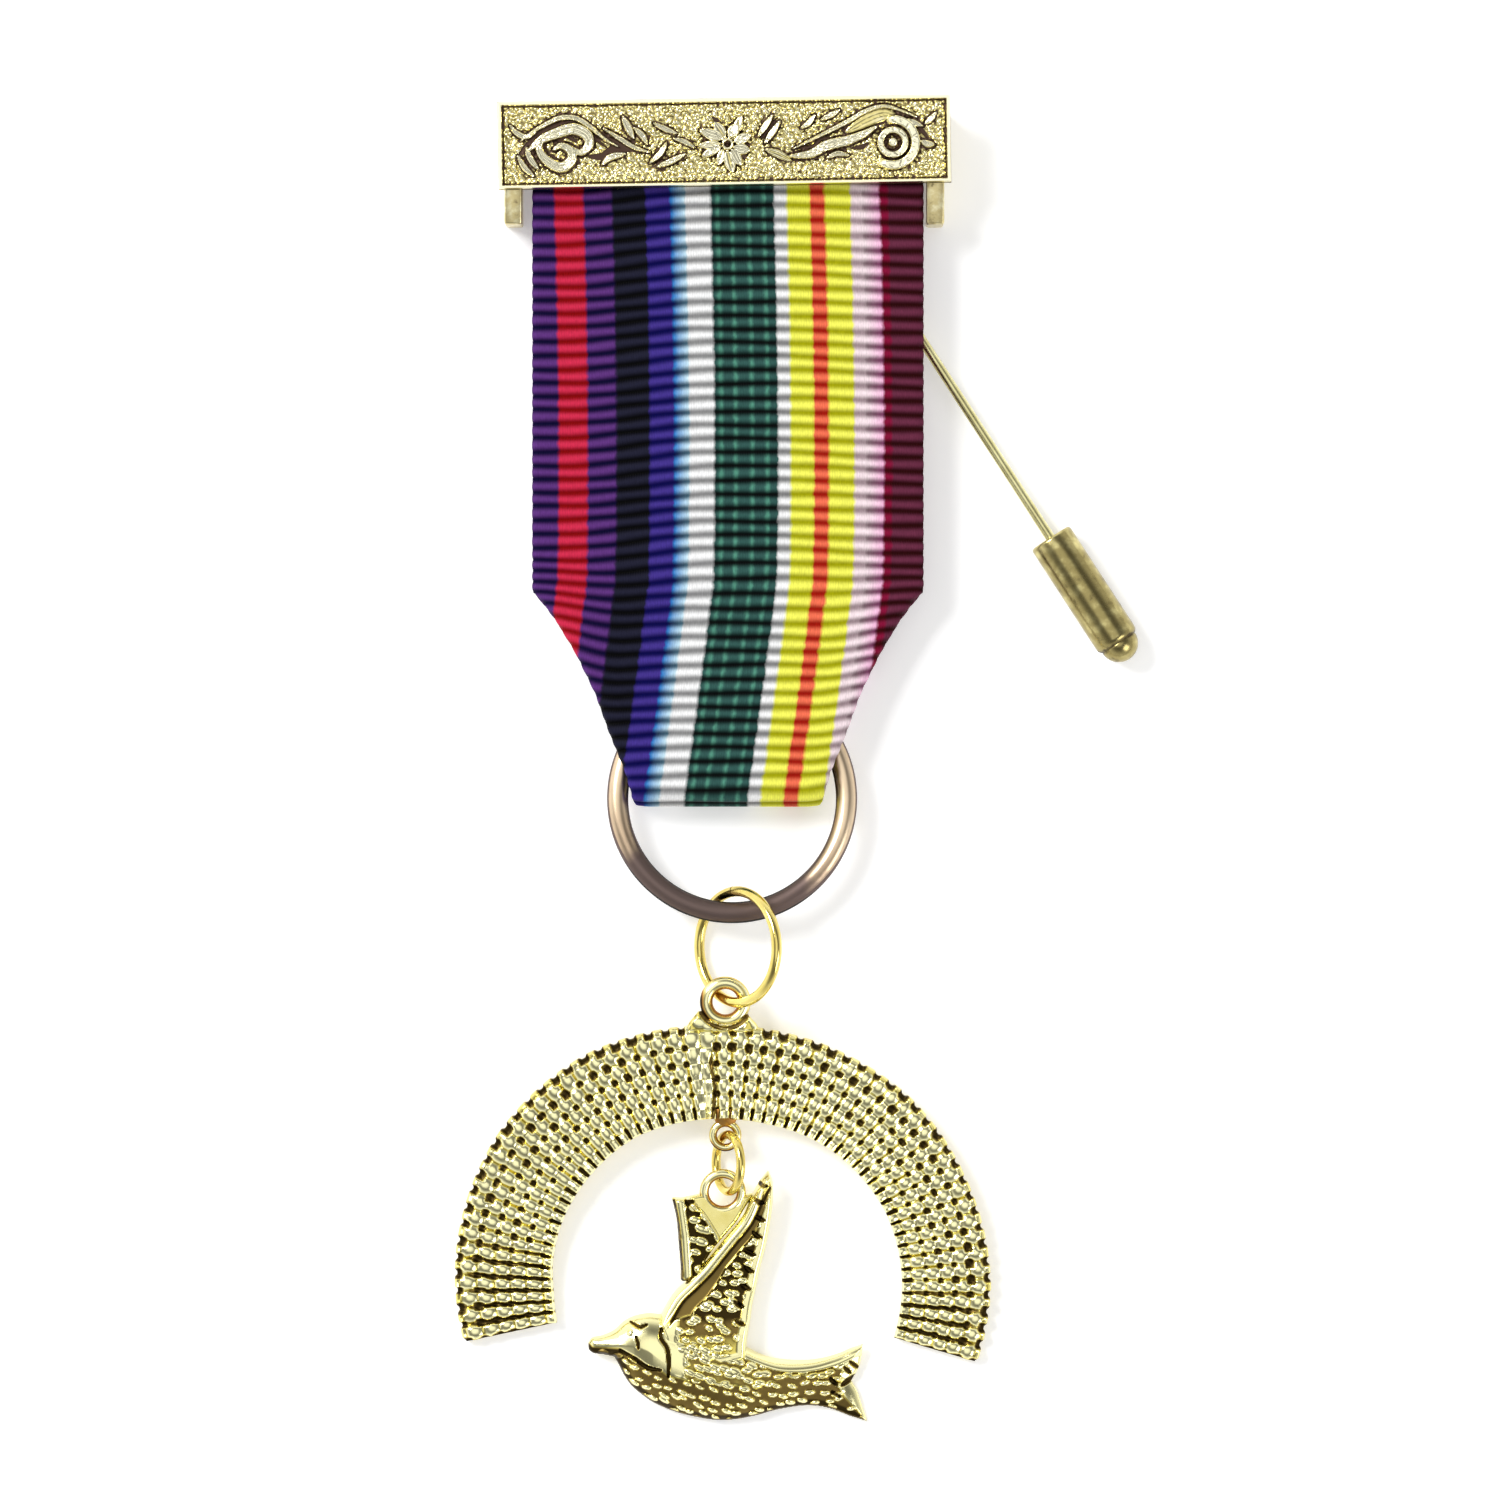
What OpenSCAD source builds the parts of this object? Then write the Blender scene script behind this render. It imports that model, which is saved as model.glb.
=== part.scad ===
// Breast jewel: engraved top bar, striped ribbon, rings, studded arch and dove, and a capped pin.
// It lies on its back. X runs along the bar, Y runs up the ribbon and Z comes out of the face.
// All sizes are millimetres. The origin is on the back plate's face, behind the bar's middle.

/* [Top bar] */
// Length of the top bar
bar_l = 43.8; // [43.2:0.1:48]
// Height of the top bar
bar_h = 8.5; // [8:0.1:10]
// Thickness of the front plate under its relief
plate_t = 1.0; // [0.8:0.05:1.6]
// Width of the raised rim
rim_w = 0.5; // [0.3:0.05:0.7]
// Height of the rim over the ground
rim_t = 0.4; // [0.25:0.05:0.6]
// Height of the scrolls and leaves over the ground
relief_t = 0.6; // [0.3:0.05:0.9]
// Distance across the flower in the middle
flower_d = 6.0; // [4.6:0.1:6.6]
// Distance across each scroll's spiral
scroll_d = 4.6; // [3.6:0.1:5.2]

/* [Back bracket] */
// Thickness of the back plate
back_t = 0.9; // [0.7:0.05:1.4]
// Height of the back plate
back_h = 6.0; // [5.2:0.1:7]
// Width of each side cheek
cheek_w = 1.7; // [1.3:0.05:2.1]
// Length of the cheeks below the bar
cheek_drop = 4.1; // [2:0.1:6]
// Height of the strip that carries the ribbon
strip_h = 3.6; // [2.8:0.1:4.2]
// Thickness of the strip that carries the ribbon
strip_t = 0.8; // [0.6:0.05:1.2]

/* [Ribbon] */
// Width of the ribbon under the bar
ribbon_w = 38.0; // [34:0.1:38.4]
// Thickness of the ribbon
ribbon_t = 1.0; // [1:0.05:1.2]
// Distance of the ribbon's middle to the right of the bar's middle
ribbon_shift = 0.34; // [0:0.02:0.36]
// Length of the straight ribbon from the bar's middle
straight_l = 43.4; // [38:0.2:50]
// Length of the narrowing ribbon
taper_l = 21.0; // [18:0.2:26]
// Rounding of the two lower corners
corner_r = 1.2; // [0.6:0.1:1.8]

/* [Suspension ring] */
// Outside diameter of the suspension ring
ring_d = 24.3; // [23.5:0.1:26]
// Wire of the suspension ring
ring_wire = 2.07; // [1.8:0.01:2.2]
// Space on each side between the ribbon's fold and the ring
ring_play = 0.7; // [0.5:0.05:1]
// Height of the ring's lower end over its upper end
ring_rise = 1.6; // [1.4:0.05:2]

/* [Jump rings] */
// Outside diameter of the jump ring that carries the arch
jump_d = 12.2; // [11.8:0.1:13]
// Wire of the jump ring
jump_wire = 1.02; // [0.9:0.01:1.1]
// Slant of the jump ring from lying flat
jump_slant = 44; // [42:1:48]
// Outside diameter of the dove's jump ring
link_d = 6.4; // [6.2:0.1:7]
// Wire of the dove's jump ring
link_wire = 0.9; // [0.7:0.01:0.95]
// Slant of the dove's jump ring from lying flat
link_slant = 70; // [66:1:74]

/* [Arch] */
// Outside diameter of the arch
arch_d = 52.0; // [50:0.2:56]
// Inside diameter of the arch
arch_hole_d = 34.2; // [33.6:0.2:36]
// Thickness of the arch under its studs
arch_t = 0.9; // [0.7:0.05:1.2]
// Height of the studs
stud_t = 0.6; // [0.4:0.05:0.8]
// Rows of studs across the arch
stud_rows = 6; // [5:1:7]
// Columns of studs along the arch
stud_columns = 61; // [52:1:66]
// Width of the plain rim inside the studs
arch_rim = 0.5; // [0.3:0.05:0.7]
// Angle of the left end below the arch's middle
left_end = 12; // [8:0.5:16]
// Angle of the right end below the arch's middle
right_end = 16.5; // [12:0.5:20]

/* [Loops] */
// Hole of the loop on the arch's crown
crown_hole_d = 2.6; // [2.5:0.05:2.9]
// Wire of the loop on the arch's crown
crown_wire = 1.1; // [0.9:0.05:1.15]
// Hole of the loop under the crown
inner_hole_d = 1.64; // [1.6:0.02:1.9]
// Wire of the loop under the crown
inner_wire = 0.76; // [0.6:0.02:0.8]
// Hole of the dove's loop
dove_hole_d = 2.48; // [2.3:0.02:2.7]
// Wire of the dove's loop
dove_wire = 0.86; // [0.7:0.02:0.9]

/* [Dove] */
// Length of the dove from beak to tail
dove_l = 26.8; // [25:0.1:28]
// Height of the dove from its belly to the wing's tip
dove_h = 23.9; // [22.5:0.1:25]
// Thickness of the dove's breast
breast_t = 2.7; // [2.2:0.1:3.2]
// Thickness of the near wing
wing_t = 1.3; // [1.1:0.05:1.6]
// Thickness of the far wing, the web and the tail
web_t = 1.0; // [0.9:0.05:1.05]
// Height of the feathers and the wing's ridge
feather_t = 0.45; // [0.3:0.05:0.6]

/* [Pin] */
// Wire of the pin
pin_d = 0.96; // [0.8:0.02:1.0]
// Length of the pin from its rivet to its tip
pin_l = 53.5; // [52:0.1:56]
// Angle between the pin and the ribbon
pin_splay = 33; // [30:1:40]
// Distance of the rivet to the right of the bar's middle
rivet_x = 6.9; // [5:0.1:8]
// Diameter of the rivet
rivet_d = 1.5; // [1.3:0.05:1.7]
// Diameter of the pin's flat eye
eye_d = 3.6; // [3.2:0.1:3.8]
// Outside diameter of the pin's cap
cap_d = 4.4; // [4.2:0.1:4.8]
// Length of the pin's cap
cap_l = 14.1; // [12.5:0.1:16]
// Length of pin inside the cap
cap_grip = 8.0; // [6:0.1:8.5]

/* [Hidden] */
$fn = 64;

// Clearances
fit_gap = 0.05;      // running fit of the pin in its cap and of its eye on the rivet
slip_gap = 0.15;     // between flat pieces that lie on each other
cloth_gap = 0.2;     // between the ribbon and a ring, or the rivet's head
floor_gap = 0.1;     // between the surface underneath and what nearly rests on it
sink = 0.1;          // depth by which soldered or cast pieces enter each other
edge_step = 0.6;     // how far the bracket stays inside the front plate's long edges
side_gap = 0.26;     // between the ribbon's edge and the cheek next to it
round_end = 0.4;     // part of the strip's height that the ribbon's bend takes

// Heights of the layers at the bar
pin_z = back_t + slip_gap + pin_d / 2;
head_t = 0.35;       // thickness of the rivet's head
head_over = 0.5;     // how far the head reaches past the rivet
slot_x = ribbon_w / 2 + ribbon_shift + side_gap;     // inner faces of the cheeks
cheek_top = bar_h / 2 - edge_step;
cap_z = cap_d / 2 + floor_gap / 2;
pin_lift = 0.86 * (cap_z - pin_z);   // rise of the pin where it comes out from under the ribbon
back_z = pin_z + pin_d / 2 + pin_lift + slip_gap;
strip_z = back_z + ribbon_t + slip_gap;
front_z = strip_z + strip_t + slip_gap;
plate_z = front_z + ribbon_t + slip_gap;
ground_z = plate_z + plate_t;

// Ribbon
wrap_r = (front_z + ribbon_t - back_z) / 2;
wrap_z = (front_z + ribbon_t + back_z) / 2;
strip_top = strip_h / 2 - round_end;
fold_y = -(straight_l + taper_l);
fold_w = ring_d - 2 * ring_wire - 2 * ring_play;
low_z = floor_gap;                                   // underside of the back strand at the ring
ring_top_z = low_z + ribbon_t + cloth_gap + ring_wire / 2;
fold_z = ring_top_z + ring_rise / 2 + ring_wire / 2 + cloth_gap + slip_gap;   // under the front strand
nose_l = 2.0;                                        // length of the rounded fold
clear_l = 37.0;                                      // ribbon that the pin sweeps under
dip_l = 13.0;                                        // ribbon that slopes down to the floor
// Way of the back strand down to the floor: share of the slope, share of its height
DIP = [[0, 1], [0.25, 0.89], [0.7, 0.07], [1, 0]];
// Narrowing of the ribbon: share of its length, share of the width that is still to go
TAPER = [[0, 1], [0.04, 0.92], [0.13, 0.78], [0.31, 0.56], [0.5, 0.37], [0.69, 0.23], [0.88, 0.07],
         [1, 0]];

// Suspension ring
ring_r = (ring_d - ring_wire) / 2;
ring_tilt = asin(ring_rise / (2 * ring_r));
ring_off = 0.4;      // of the ring's middle to the right of the ribbon's
ring_x = ribbon_shift + ring_off;
ring_over = 0.9;     // of the ring's middle over the ribbon's fold
ring_y = fold_y + ring_over;
ring_z = ring_top_z + ring_rise / 2;
ring_low_y = ring_y - ring_r * cos(ring_tilt);
ring_low_z = ring_z + ring_rise / 2;

// Jump ring, through the suspension ring and the crown loop
jump_r = (jump_d - jump_wire) / 2;
jump_play = 0.44;    // between the two wires
jump_off = 0.7;      // of its middle to the right of the suspension ring's
jump_over = 0.65;    // of its middle over the suspension ring's lower end
jump_x = ring_x + jump_off;
jump_y = ring_low_y + ring_wire / 2 + jump_play + jump_wire / 2 - jump_r;
jump_z = ring_low_z + jump_over;

// Arch, hung by its crown loop, with its two ends on the floor
arch_r = arch_d / 2;
arch_in = arch_hole_d / 2;
crown_r = (crown_hole_d + crown_wire) / 2;
crown_under = 1.12;  // of the crown loop under the jump ring's middle
crown_x = jump_x - crown_under / tan(jump_slant);
crown_y = jump_y - jump_r + (crown_hole_d - jump_wire) / 2 - cloth_gap;
crown_z = jump_z - crown_under;
crown_bite = 0.5;    // depth by which the crown loop enters the arch
crown_root = 0.3;    // further depth of its neck
crown_reach = crown_hole_d / 2 + crown_wire - crown_bite;
crown_off = 0.45;    // of the crown loop to the right of the arch's middle
loop_mid = 0.65 * arch_t;
arch_low = arch_r * sin(right_end);
arch_tilt = asin((crown_z - loop_mid - floor_gap / 2) / (arch_r + crown_reach + arch_low));
arch_x = crown_x - crown_off;
arch_y = crown_y - (arch_r + crown_reach) * cos(arch_tilt);
arch_z = floor_gap / 2 + arch_low * sin(arch_tilt);
inner_r = (inner_hole_d + inner_wire) / 2;
inner_reach = 2.25;  // of the loop under the crown from the arch's inner edge
inner_off = 0.25;    // of the loop under the crown to the right of the arch's middle
inner_y = arch_y + (arch_in - inner_reach) * cos(arch_tilt);
inner_z = arch_z + (arch_in - inner_reach) * sin(arch_tilt) + loop_mid;

// Dove's jump ring and dove
link_r = (link_d - link_wire) / 2;
link_off = 0.3;      // of its middle to the right of the arch's inner loop
link_over = 0.81;    // of its middle over the arch's inner loop
link_x = arch_x + inner_off + link_off;
link_y = inner_y + (inner_hole_d - link_wire) / 2 - slip_gap - link_r;
link_z = inner_z + link_over;
dove_r = (dove_hole_d + dove_wire) / 2;
dove_under = 0.4;    // of the dove's loop under its jump ring's middle
dove_off = 0.2;      // of the dove's loop to the left of where the ring crosses it
dove_drop = 0.11;    // of the dove's loop under the ring's lowest point
dove_x = link_x - dove_under / tan(link_slant) - dove_off;
dove_y = link_y - link_r - dove_drop;
dove_z = link_z - dove_under;
dove_mid = 0.55 * web_t;
eyeball_d = 0.9;
DOVE_LOOP = 0.938;                                   // share of the dove's height at its loop
dove_tilt = asin((dove_z - dove_mid - floor_gap / 2) / (DOVE_LOOP * dove_h));

// Pin and cap
grip_from = pin_l - cap_grip;
pin_slope = atan((cap_z - pin_z) / grip_from);
tip_l = 3.0;         // length of the pin's sharpened tip
tip_d = 0.2;         // its blunt end
cap_spare = 1.5;     // depth of the cap's hole past the pin's tip
cap_hole = cap_grip + cap_spare;
cap_step = 0.3;      // length of the cap's narrowing before its ball end
ball_r = 0.43 * cap_d;
eye_root = 0.3;      // depth by which the wire enters the eye
ball_neck = 0.97;    // part of the ball's radius at the end of the cap's narrowing

// A curve through points, with a number of steps between each two of them
function between(a, b, c, d, t) =
    0.5 * (2 * b + (c - a) * t + (2 * a - 5 * b + 4 * c - d) * t * t + (3 * b - a - 3 * c + d) * t * t * t);
function curve(p, steps) = let (last = len(p) - 1) concat(
    [for (i = [0:last - 1], k = [0:steps - 1])
        between(p[max(i - 1, 0)], p[i], p[i + 1], p[min(i + 2, last)], k / steps)],
    [p[last]]);
function across(p, i) = let (d = p[min(i + 1, len(p) - 1)] - p[max(i - 1, 0)]) [-d[1], d[0]] / norm(d);
function back_to_front(p) = [for (i = [len(p) - 1:-1:0]) p[i]];
// The outline of a stroke along p, as wide as w at its widest and pointed at its ends
function stroke(p, w) = let (n = len(p) - 1) concat(
    [for (i = [0:n]) p[i] + across(p, i) * w / 2 * (0.12 + 0.88 * sin(180 * i / n))],
    back_to_front([for (i = [0:n]) p[i] - across(p, i) * w / 2 * (0.12 + 0.88 * sin(180 * i / n))]));

module raised(h) {
    translate([0, 0, ground_z - sink])
    linear_extrude(h + sink)
    children();
}

module leaf(at, turn, l, w, bend = 0.2) {
    translate(at)
    rotate(turn)
    polygon(stroke([for (i = [0:8]) [l * i / 8, bend * l * sin(180 * i / 8)]], w));
}

// One half of the bar's ornament: a spiral with leaves round it and a stem to the flower.
// A place on it is a share of the bar's half length and shares of the scroll's size along and up.
STEM = [[1, -0.85, 0.47], [1, -1.35, 0.36], [0.5, 0, -0.05], [0.36, 0, -0.32], [0.24, 0, -0.1]];
SPIRAL_EYE = [1, -0.95, -0.05];
// Leaves: their place as above, then turn, length and width as shares of the scroll's size
LEAVES = [[1, -0.48, 0.1, 52, 0.46, 0.18], [1, -0.45, -0.2, -8, 0.4, 0.16],
          [0.49, 0, -0.24, 20, 0.52, 0.2], [0.48, 0, 0.18, 62, 0.5, 0.18],
          [0.35, 0, 0.05, 80, 0.6, 0.2], [0.22, 0, 0.2, 40, 0.4, 0.16]];
function on_scroll(p) = [p[0] * (bar_l / 2 - rim_w) + p[1] * scroll_d, p[2] * scroll_d];

module scroll() {
    turn = 16;           // of the spiral at each step, from its start at 95 degrees
    steps = 30;
    wide = 0.4;          // its first radius, as a share, and how it shrinks at each step
    shrink = 0.011;
    spiral = [for (i = [0:steps]) let (a = 95 - turn * i)
        on_scroll(SPIRAL_EYE) + scroll_d * (wide - shrink * i) * [cos(a), sin(a)]];
    raised(relief_t) polygon(stroke(spiral, 0.17 * scroll_d));
    raised(0.8 * relief_t) polygon(stroke(curve([for (p = STEM) on_scroll(p)], 4), 0.16 * scroll_d));
    for (f = LEAVES)
        raised(0.7 * relief_t)
        leaf(on_scroll(f), f[3], f[4] * scroll_d, f[5] * scroll_d);
}

module flower() {
    petals = 8;
    root = 0.17 * flower_d;
    for (i = [0:petals - 1])
        let (a = i * 360 / petals)
        raised(0.85 * relief_t)
        leaf(root * [cos(a), sin(a)], a, 0.32 * flower_d, 0.2 * flower_d, 0);
    raised(1.15 * relief_t) circle(d = 0.26 * flower_d);
}

// Front plate, back plate, cheeks, strip and rivet, soldered into one piece
module bar() {
    color("goldenrod") {
        difference() {
            translate([-bar_l / 2, -bar_h / 2, plate_z]) cube([bar_l, bar_h, plate_t + rim_t]);
            translate([rim_w - bar_l / 2, rim_w - bar_h / 2, ground_z])
            cube([bar_l - 2 * rim_w, bar_h - 2 * rim_w, 2 * rim_t]);
        }
        scroll();
        mirror([1, 0, 0]) scroll();
        flower();
        half = slot_x + cheek_w;
        translate([-half, cheek_top - back_h, 0])
        cube([2 * half, back_h, back_t]);
        for (s = [0, 1])
            mirror([s, 0, 0])
            translate([slot_x, -bar_h / 2 - cheek_drop, 0])
            cube([cheek_w, cheek_top + bar_h / 2 + cheek_drop, plate_z + sink]);
        translate([sink - half, -strip_h / 2, strip_z])
        cube([2 * (half - sink), strip_h - round_end, strip_t]);
        translate([rivet_x, 0, back_t - sink])
        cylinder(d = rivet_d, h = pin_d + 2 * slip_gap + 2 * sink);
        translate([rivet_x, 0, pin_z + pin_d / 2 + slip_gap])
        cylinder(d = rivet_d + 2 * head_over, h = head_t);
    }
}

// Half of the ribbon's width at a share of its narrowing
function narrow(share) = fold_w / 2 + (ribbon_w - fold_w) / 2 * lookup(share, TAPER);

module ribbon_plan() {
    steps = 14;
    right = [for (i = [0:steps]) [narrow(i / steps), -straight_l - i / steps * (taper_l - corner_r)]];
    corner = [for (a = [0:30:90]) [fold_w / 2 - corner_r * (1 - cos(a)), fold_y + corner_r * (1 - sin(a))]];
    side = concat([[ribbon_w / 2, strip_top + 2 * wrap_r]], right, corner);
    translate([ribbon_shift, 0]) polygon(concat(side, back_to_front([for (p = side) [-p[0], p[1]]])));
}

// One side of the ribbon's loop, seen from its edge; inset goes from its outer to its inner face
function loop_side(inset) = let (
    r = wrap_r - inset,
    nose = nose_l - inset,
    out_z = fold_z + ribbon_t,
    tall = (out_z - low_z) / 2 - inset,
    mid = (out_z + low_z) / 2
) concat(
    [for (a = [180:-15:0]) [strip_top + r * sin(a), wrap_z - r * cos(a)]],
    [for (d = DIP) [-clear_l - d[0] * dip_l, low_z + inset + d[1] * (back_z - low_z)]],
    [for (a = [180:-15:0]) [fold_y + nose_l - nose * sin(a), mid + tall * cos(a)]]);

module ribbon() {
    color("mediumblue")
    intersection() {
        rotate([90, 0, 90])
        translate([0, 0, -ribbon_w])
        linear_extrude(2 * ribbon_w)
        difference() {
            polygon(loop_side(0));
            polygon(loop_side(ribbon_t));
        }
        linear_extrude(4 * wrap_z) ribbon_plan();
    }
}

module wire_ring(r, wire) {
    rotate_extrude($fn = 96)
    translate([r, 0])
    circle(d = wire, $fn = 32);
}

module suspension_ring() {
    color("rosybrown")
    translate([ring_x, ring_y, ring_z])
    rotate([-ring_tilt, 0, 0])
    wire_ring(ring_r, ring_wire);
}

module jump_ring() {
    color("gold")
    translate([jump_x, jump_y, jump_z])
    rotate([0, -jump_slant, 0])
    wire_ring(jump_r, jump_wire);
}

module dove_ring() {
    color("gold")
    translate([link_x, link_y, link_z])
    rotate([0, -link_slant, 0])
    wire_ring(link_r, link_wire);
}

// The arch's plate with its plain inner rim and its field of studs, as one closed surface
module studded_plate() {
    from = 180 + left_end;
    step = -(180 + left_end + right_end) / stud_columns;
    field = arch_in + 1.3 * arch_rim;
    pitch = (arch_r - field) / stud_rows;
    rim_z = arch_t + 0.6 * stud_t;
    // lines of points along the arch: radius and height
    LINES = concat([[arch_in, 0], [arch_in, rim_z], [arch_in + arch_rim, rim_z]],
        [for (i = [0:stud_rows]) [field + i * pitch, arch_t]], [[arch_r, 0]]);
    lines = len(LINES);
    // each stud's flat top: shares of its cell
    TOP = [[0.22, 0.2], [0.22, 0.8], [0.78, 0.8], [0.78, 0.2]];
    grid = [for (c = [0:stud_columns], l = LINES)
        [l[0] * cos(from + c * step), l[0] * sin(from + c * step), l[1]]];
    tops = [for (c = [0:stud_columns - 1], r = [0:stud_rows - 1], t = TOP)
        let (a = from + (c + t[0]) * step, d = field + (r + t[1]) * pitch)
        [d * cos(a), d * sin(a), arch_t + stud_t]];
    function at(c, l) = c * lines + l % lines;
    function top(c, r, k) = len(grid) + (c * stud_rows + r) * len(TOP) + k % len(TOP);
    plain = [for (c = [0:stud_columns - 1], l = [0, 1, 2, lines - 2, lines - 1])
        [at(c, l), at(c, l + 1), at(c + 1, l + 1), at(c + 1, l)]];
    studs = [for (c = [0:stud_columns - 1], r = [0:stud_rows - 1])
        let (cell = [at(c, r + 3), at(c, r + 4), at(c + 1, r + 4), at(c + 1, r + 3)])
        each concat([[for (k = [0:3]) top(c, r, k)]],
            [for (k = [0:3]) [cell[k], cell[(k + 1) % 4], top(c, r, k + 1), top(c, r, k)]])];
    ends = [[for (l = [lines - 1:-1:0]) at(0, l)], [for (l = [0:lines - 1]) at(stud_columns, l)]];
    polyhedron(concat(grid, tops), concat(plain, studs, ends));
}

// A loop of cast metal and the neck that joins it to the arch
module cast_loop(r, wire, neck_w, neck_l) {
    flat = 0.8 * wire;   // thickness of the neck
    top = neck_l + wire / 2;
    wire_ring(r, wire);
    translate([0, -r - wire / 2 - neck_l + sink, -flat / 2])
    linear_extrude(flat)
    polygon([[-neck_w / 2, 0], [neck_w / 2, 0], [neck_w / 3, top], [-neck_w / 3, top]]);
}

module rainbow_arch() {
    color("khaki")
    translate([arch_x, arch_y, arch_z])
    rotate([arch_tilt, 0, 0]) {
        studded_plate();
        translate([crown_off, arch_r + crown_reach, loop_mid])
        cast_loop(crown_r, crown_wire, 2.4 * crown_r, crown_bite + crown_root);
        translate([inner_off, arch_in - inner_reach, loop_mid])
        rotate(180)
        cast_loop(inner_r, inner_wire, 2 * inner_r, inner_reach - inner_r - inner_wire / 2 + crown_bite);
    }
}

// The dove's outlines as shares of its length and height from the foot of its loop's line
// Near wing: the ridge from the shoulder to the tip, then the trailing edge down to the back
RIDGE = [[-0.245, 0.385], [-0.15, 0.555], [-0.045, 0.67], [0.02, 0.76], [0.075, 0.87], [0.152, 0.995]];
TRAIL = [[0.17, 0.965], [0.165, 0.78], [0.118, 0.57], [0.08, 0.29], [0.05, 0.15]];
FAR_WING = [[-0.178, 0.91], [-0.085, 0.905], [-0.01, 0.72], [-0.06, 0.55], [-0.14, 0.45]];
// Tail: upper edge, upper prong, notch, lower prong, lower edge
TAIL = [[0.15, 0.235], [0.24, 0.215], [0.36, 0.23], [0.445, 0.265], [0.47, 0.3], [0.48, 0.275],
        [0.425, 0.145], [0.51, -0.005], [0.495, 0.01], [0.42, 0.045], [0.34, 0.062], [0.24, 0.06],
        [0.15, 0.035]];
EYE = [-0.335, 0.36];
// Body: share of the length, share of the height at its middle, half height, share of the thickness
BODY = [[-0.49, 0.297, 0.008, 0.28], [-0.43, 0.305, 0.035, 0.42], [-0.375, 0.31, 0.075, 0.7],
        [-0.32, 0.29, 0.135, 0.86], [-0.25, 0.255, 0.16, 0.95], [-0.14, 0.215, 0.172, 1],
        [0.005, 0.172, 0.172, 0.96], [0.085, 0.16, 0.145, 0.86], [0.19, 0.14, 0.1, 0.7],
        [0.3, 0.14, 0.08, 0.55], [0.38, 0.143, 0.09, 0.42], [0.43, 0.145, 0.012, 0.4]];
function on_dove(p) = [p[0] * dove_l, (p[1] - DOVE_LOOP) * dove_h];

// The rounded body with a flat back, lofted through its sections
module dove_body() {
    sides = 10;
    edge = 0.3 * web_t;
    n = len(BODY);
    // a point over section s: angle round the back from the belly, and height
    function skin_at(s, a, z) = [s[0] * dove_l, (s[1] + s[2] * cos(a) - DOVE_LOOP) * dove_h, z];
    pts = [for (s = BODY) each concat(
        [for (k = [0:sides]) let (a = 180 - 180 * k / sides)
            skin_at(s, a, edge + (s[3] * breast_t - edge) * sin(a))],
        [skin_at(s, 0, 0), skin_at(s, 180, 0)])];
    ring = sides + 3;
    function at(s, k) = s * ring + k % ring;
    skin = [for (s = [0:n - 2], k = [0:ring - 1])
        [at(s, k), at(s, k + 1), at(s + 1, k + 1), at(s + 1, k)]];
    ends = [[for (k = [ring - 1:-1:0]) at(0, k)], [for (k = [0:ring - 1]) at(n - 1, k)]];
    polyhedron(pts, concat(skin, ends));
}

module dove() {
    ridge_w = 0.045 * dove_l;
    feathers = 7;
    feather_l = 0.11 * dove_h;
    feather_w = 0.036 * dove_l;
    feather_turn = 205;  // of the highest feather, and how much less each next one has
    feather_step = 4;
    ridge = curve([for (p = RIDGE) on_dove(p)], 3);
    trail = curve([for (p = TRAIL) on_dove(p)], 3);
    far = [for (p = FAR_WING) on_dove(p)];
    far_ridge = [far[0] + [ridge_w / 2, -ridge_w / 3], far[4] + [ridge_w / 2, ridge_w]];
    color("khaki")
    translate([dove_x, dove_y, dove_z])
    rotate([dove_tilt, 0, 0])
    translate([0, 0, -dove_mid]) {
        dove_body();
        linear_extrude(web_t) polygon([for (p = TAIL) on_dove(p)]);
        linear_extrude(wing_t) polygon(concat(ridge, trail));
        // smooth ridge along the near wing's leading edge
        linear_extrude(wing_t + feather_t)
        polygon(stroke([for (p = ridge) p + [ridge_w / 2, -ridge_w / 4]], ridge_w));
        // far wing, its own ridge and the web between the wings
        linear_extrude(web_t) polygon(far);
        linear_extrude(web_t + 0.7 * feather_t)
        polygon(stroke(curve(far_ridge, 8), 0.7 * ridge_w));
        translate([0, 0, dove_mid]) cast_loop(dove_r, dove_wire, dove_r, 2 * dove_r);
        // long feathers along the trailing edge
        for (i = [0:feathers - 1])
            linear_extrude(wing_t + 0.8 * feather_t)
            translate(trail[2 + round(1.3 * i)] - [feather_l / 10, feather_w / 2])
            rotate(feather_turn - feather_step * i)
            polygon(stroke([for (k = [0:6]) [feather_l * k / 6, 0]], feather_w));
        translate(concat(on_dove(EYE), 0.66 * breast_t)) cylinder(d = eyeball_d, h = eyeball_d / 2);
    }
}

module along_pin() {
    translate([rivet_x, 0, pin_z])
    rotate([0, 0, pin_splay - 90])
    rotate([0, 90 - pin_slope, 0])
    children();
}

module pin() {
    color("darkkhaki")
    difference() {
        union() {
            translate([rivet_x, 0, pin_z - pin_d / 2])
            cylinder(d = eye_d, h = pin_d);
            along_pin() {
                translate([0, 0, eye_d / 2 - eye_root])
                cylinder(d = pin_d, h = pin_l - tip_l - eye_d / 2 + eye_root, $fn = 32);
                translate([0, 0, pin_l - tip_l]) cylinder(d1 = pin_d, d2 = tip_d, h = tip_l, $fn = 32);
            }
        }
        translate([rivet_x, 0, 0])
        cylinder(d = rivet_d + 2 * fit_gap, h = 4 * pin_z);
    }
}

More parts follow.
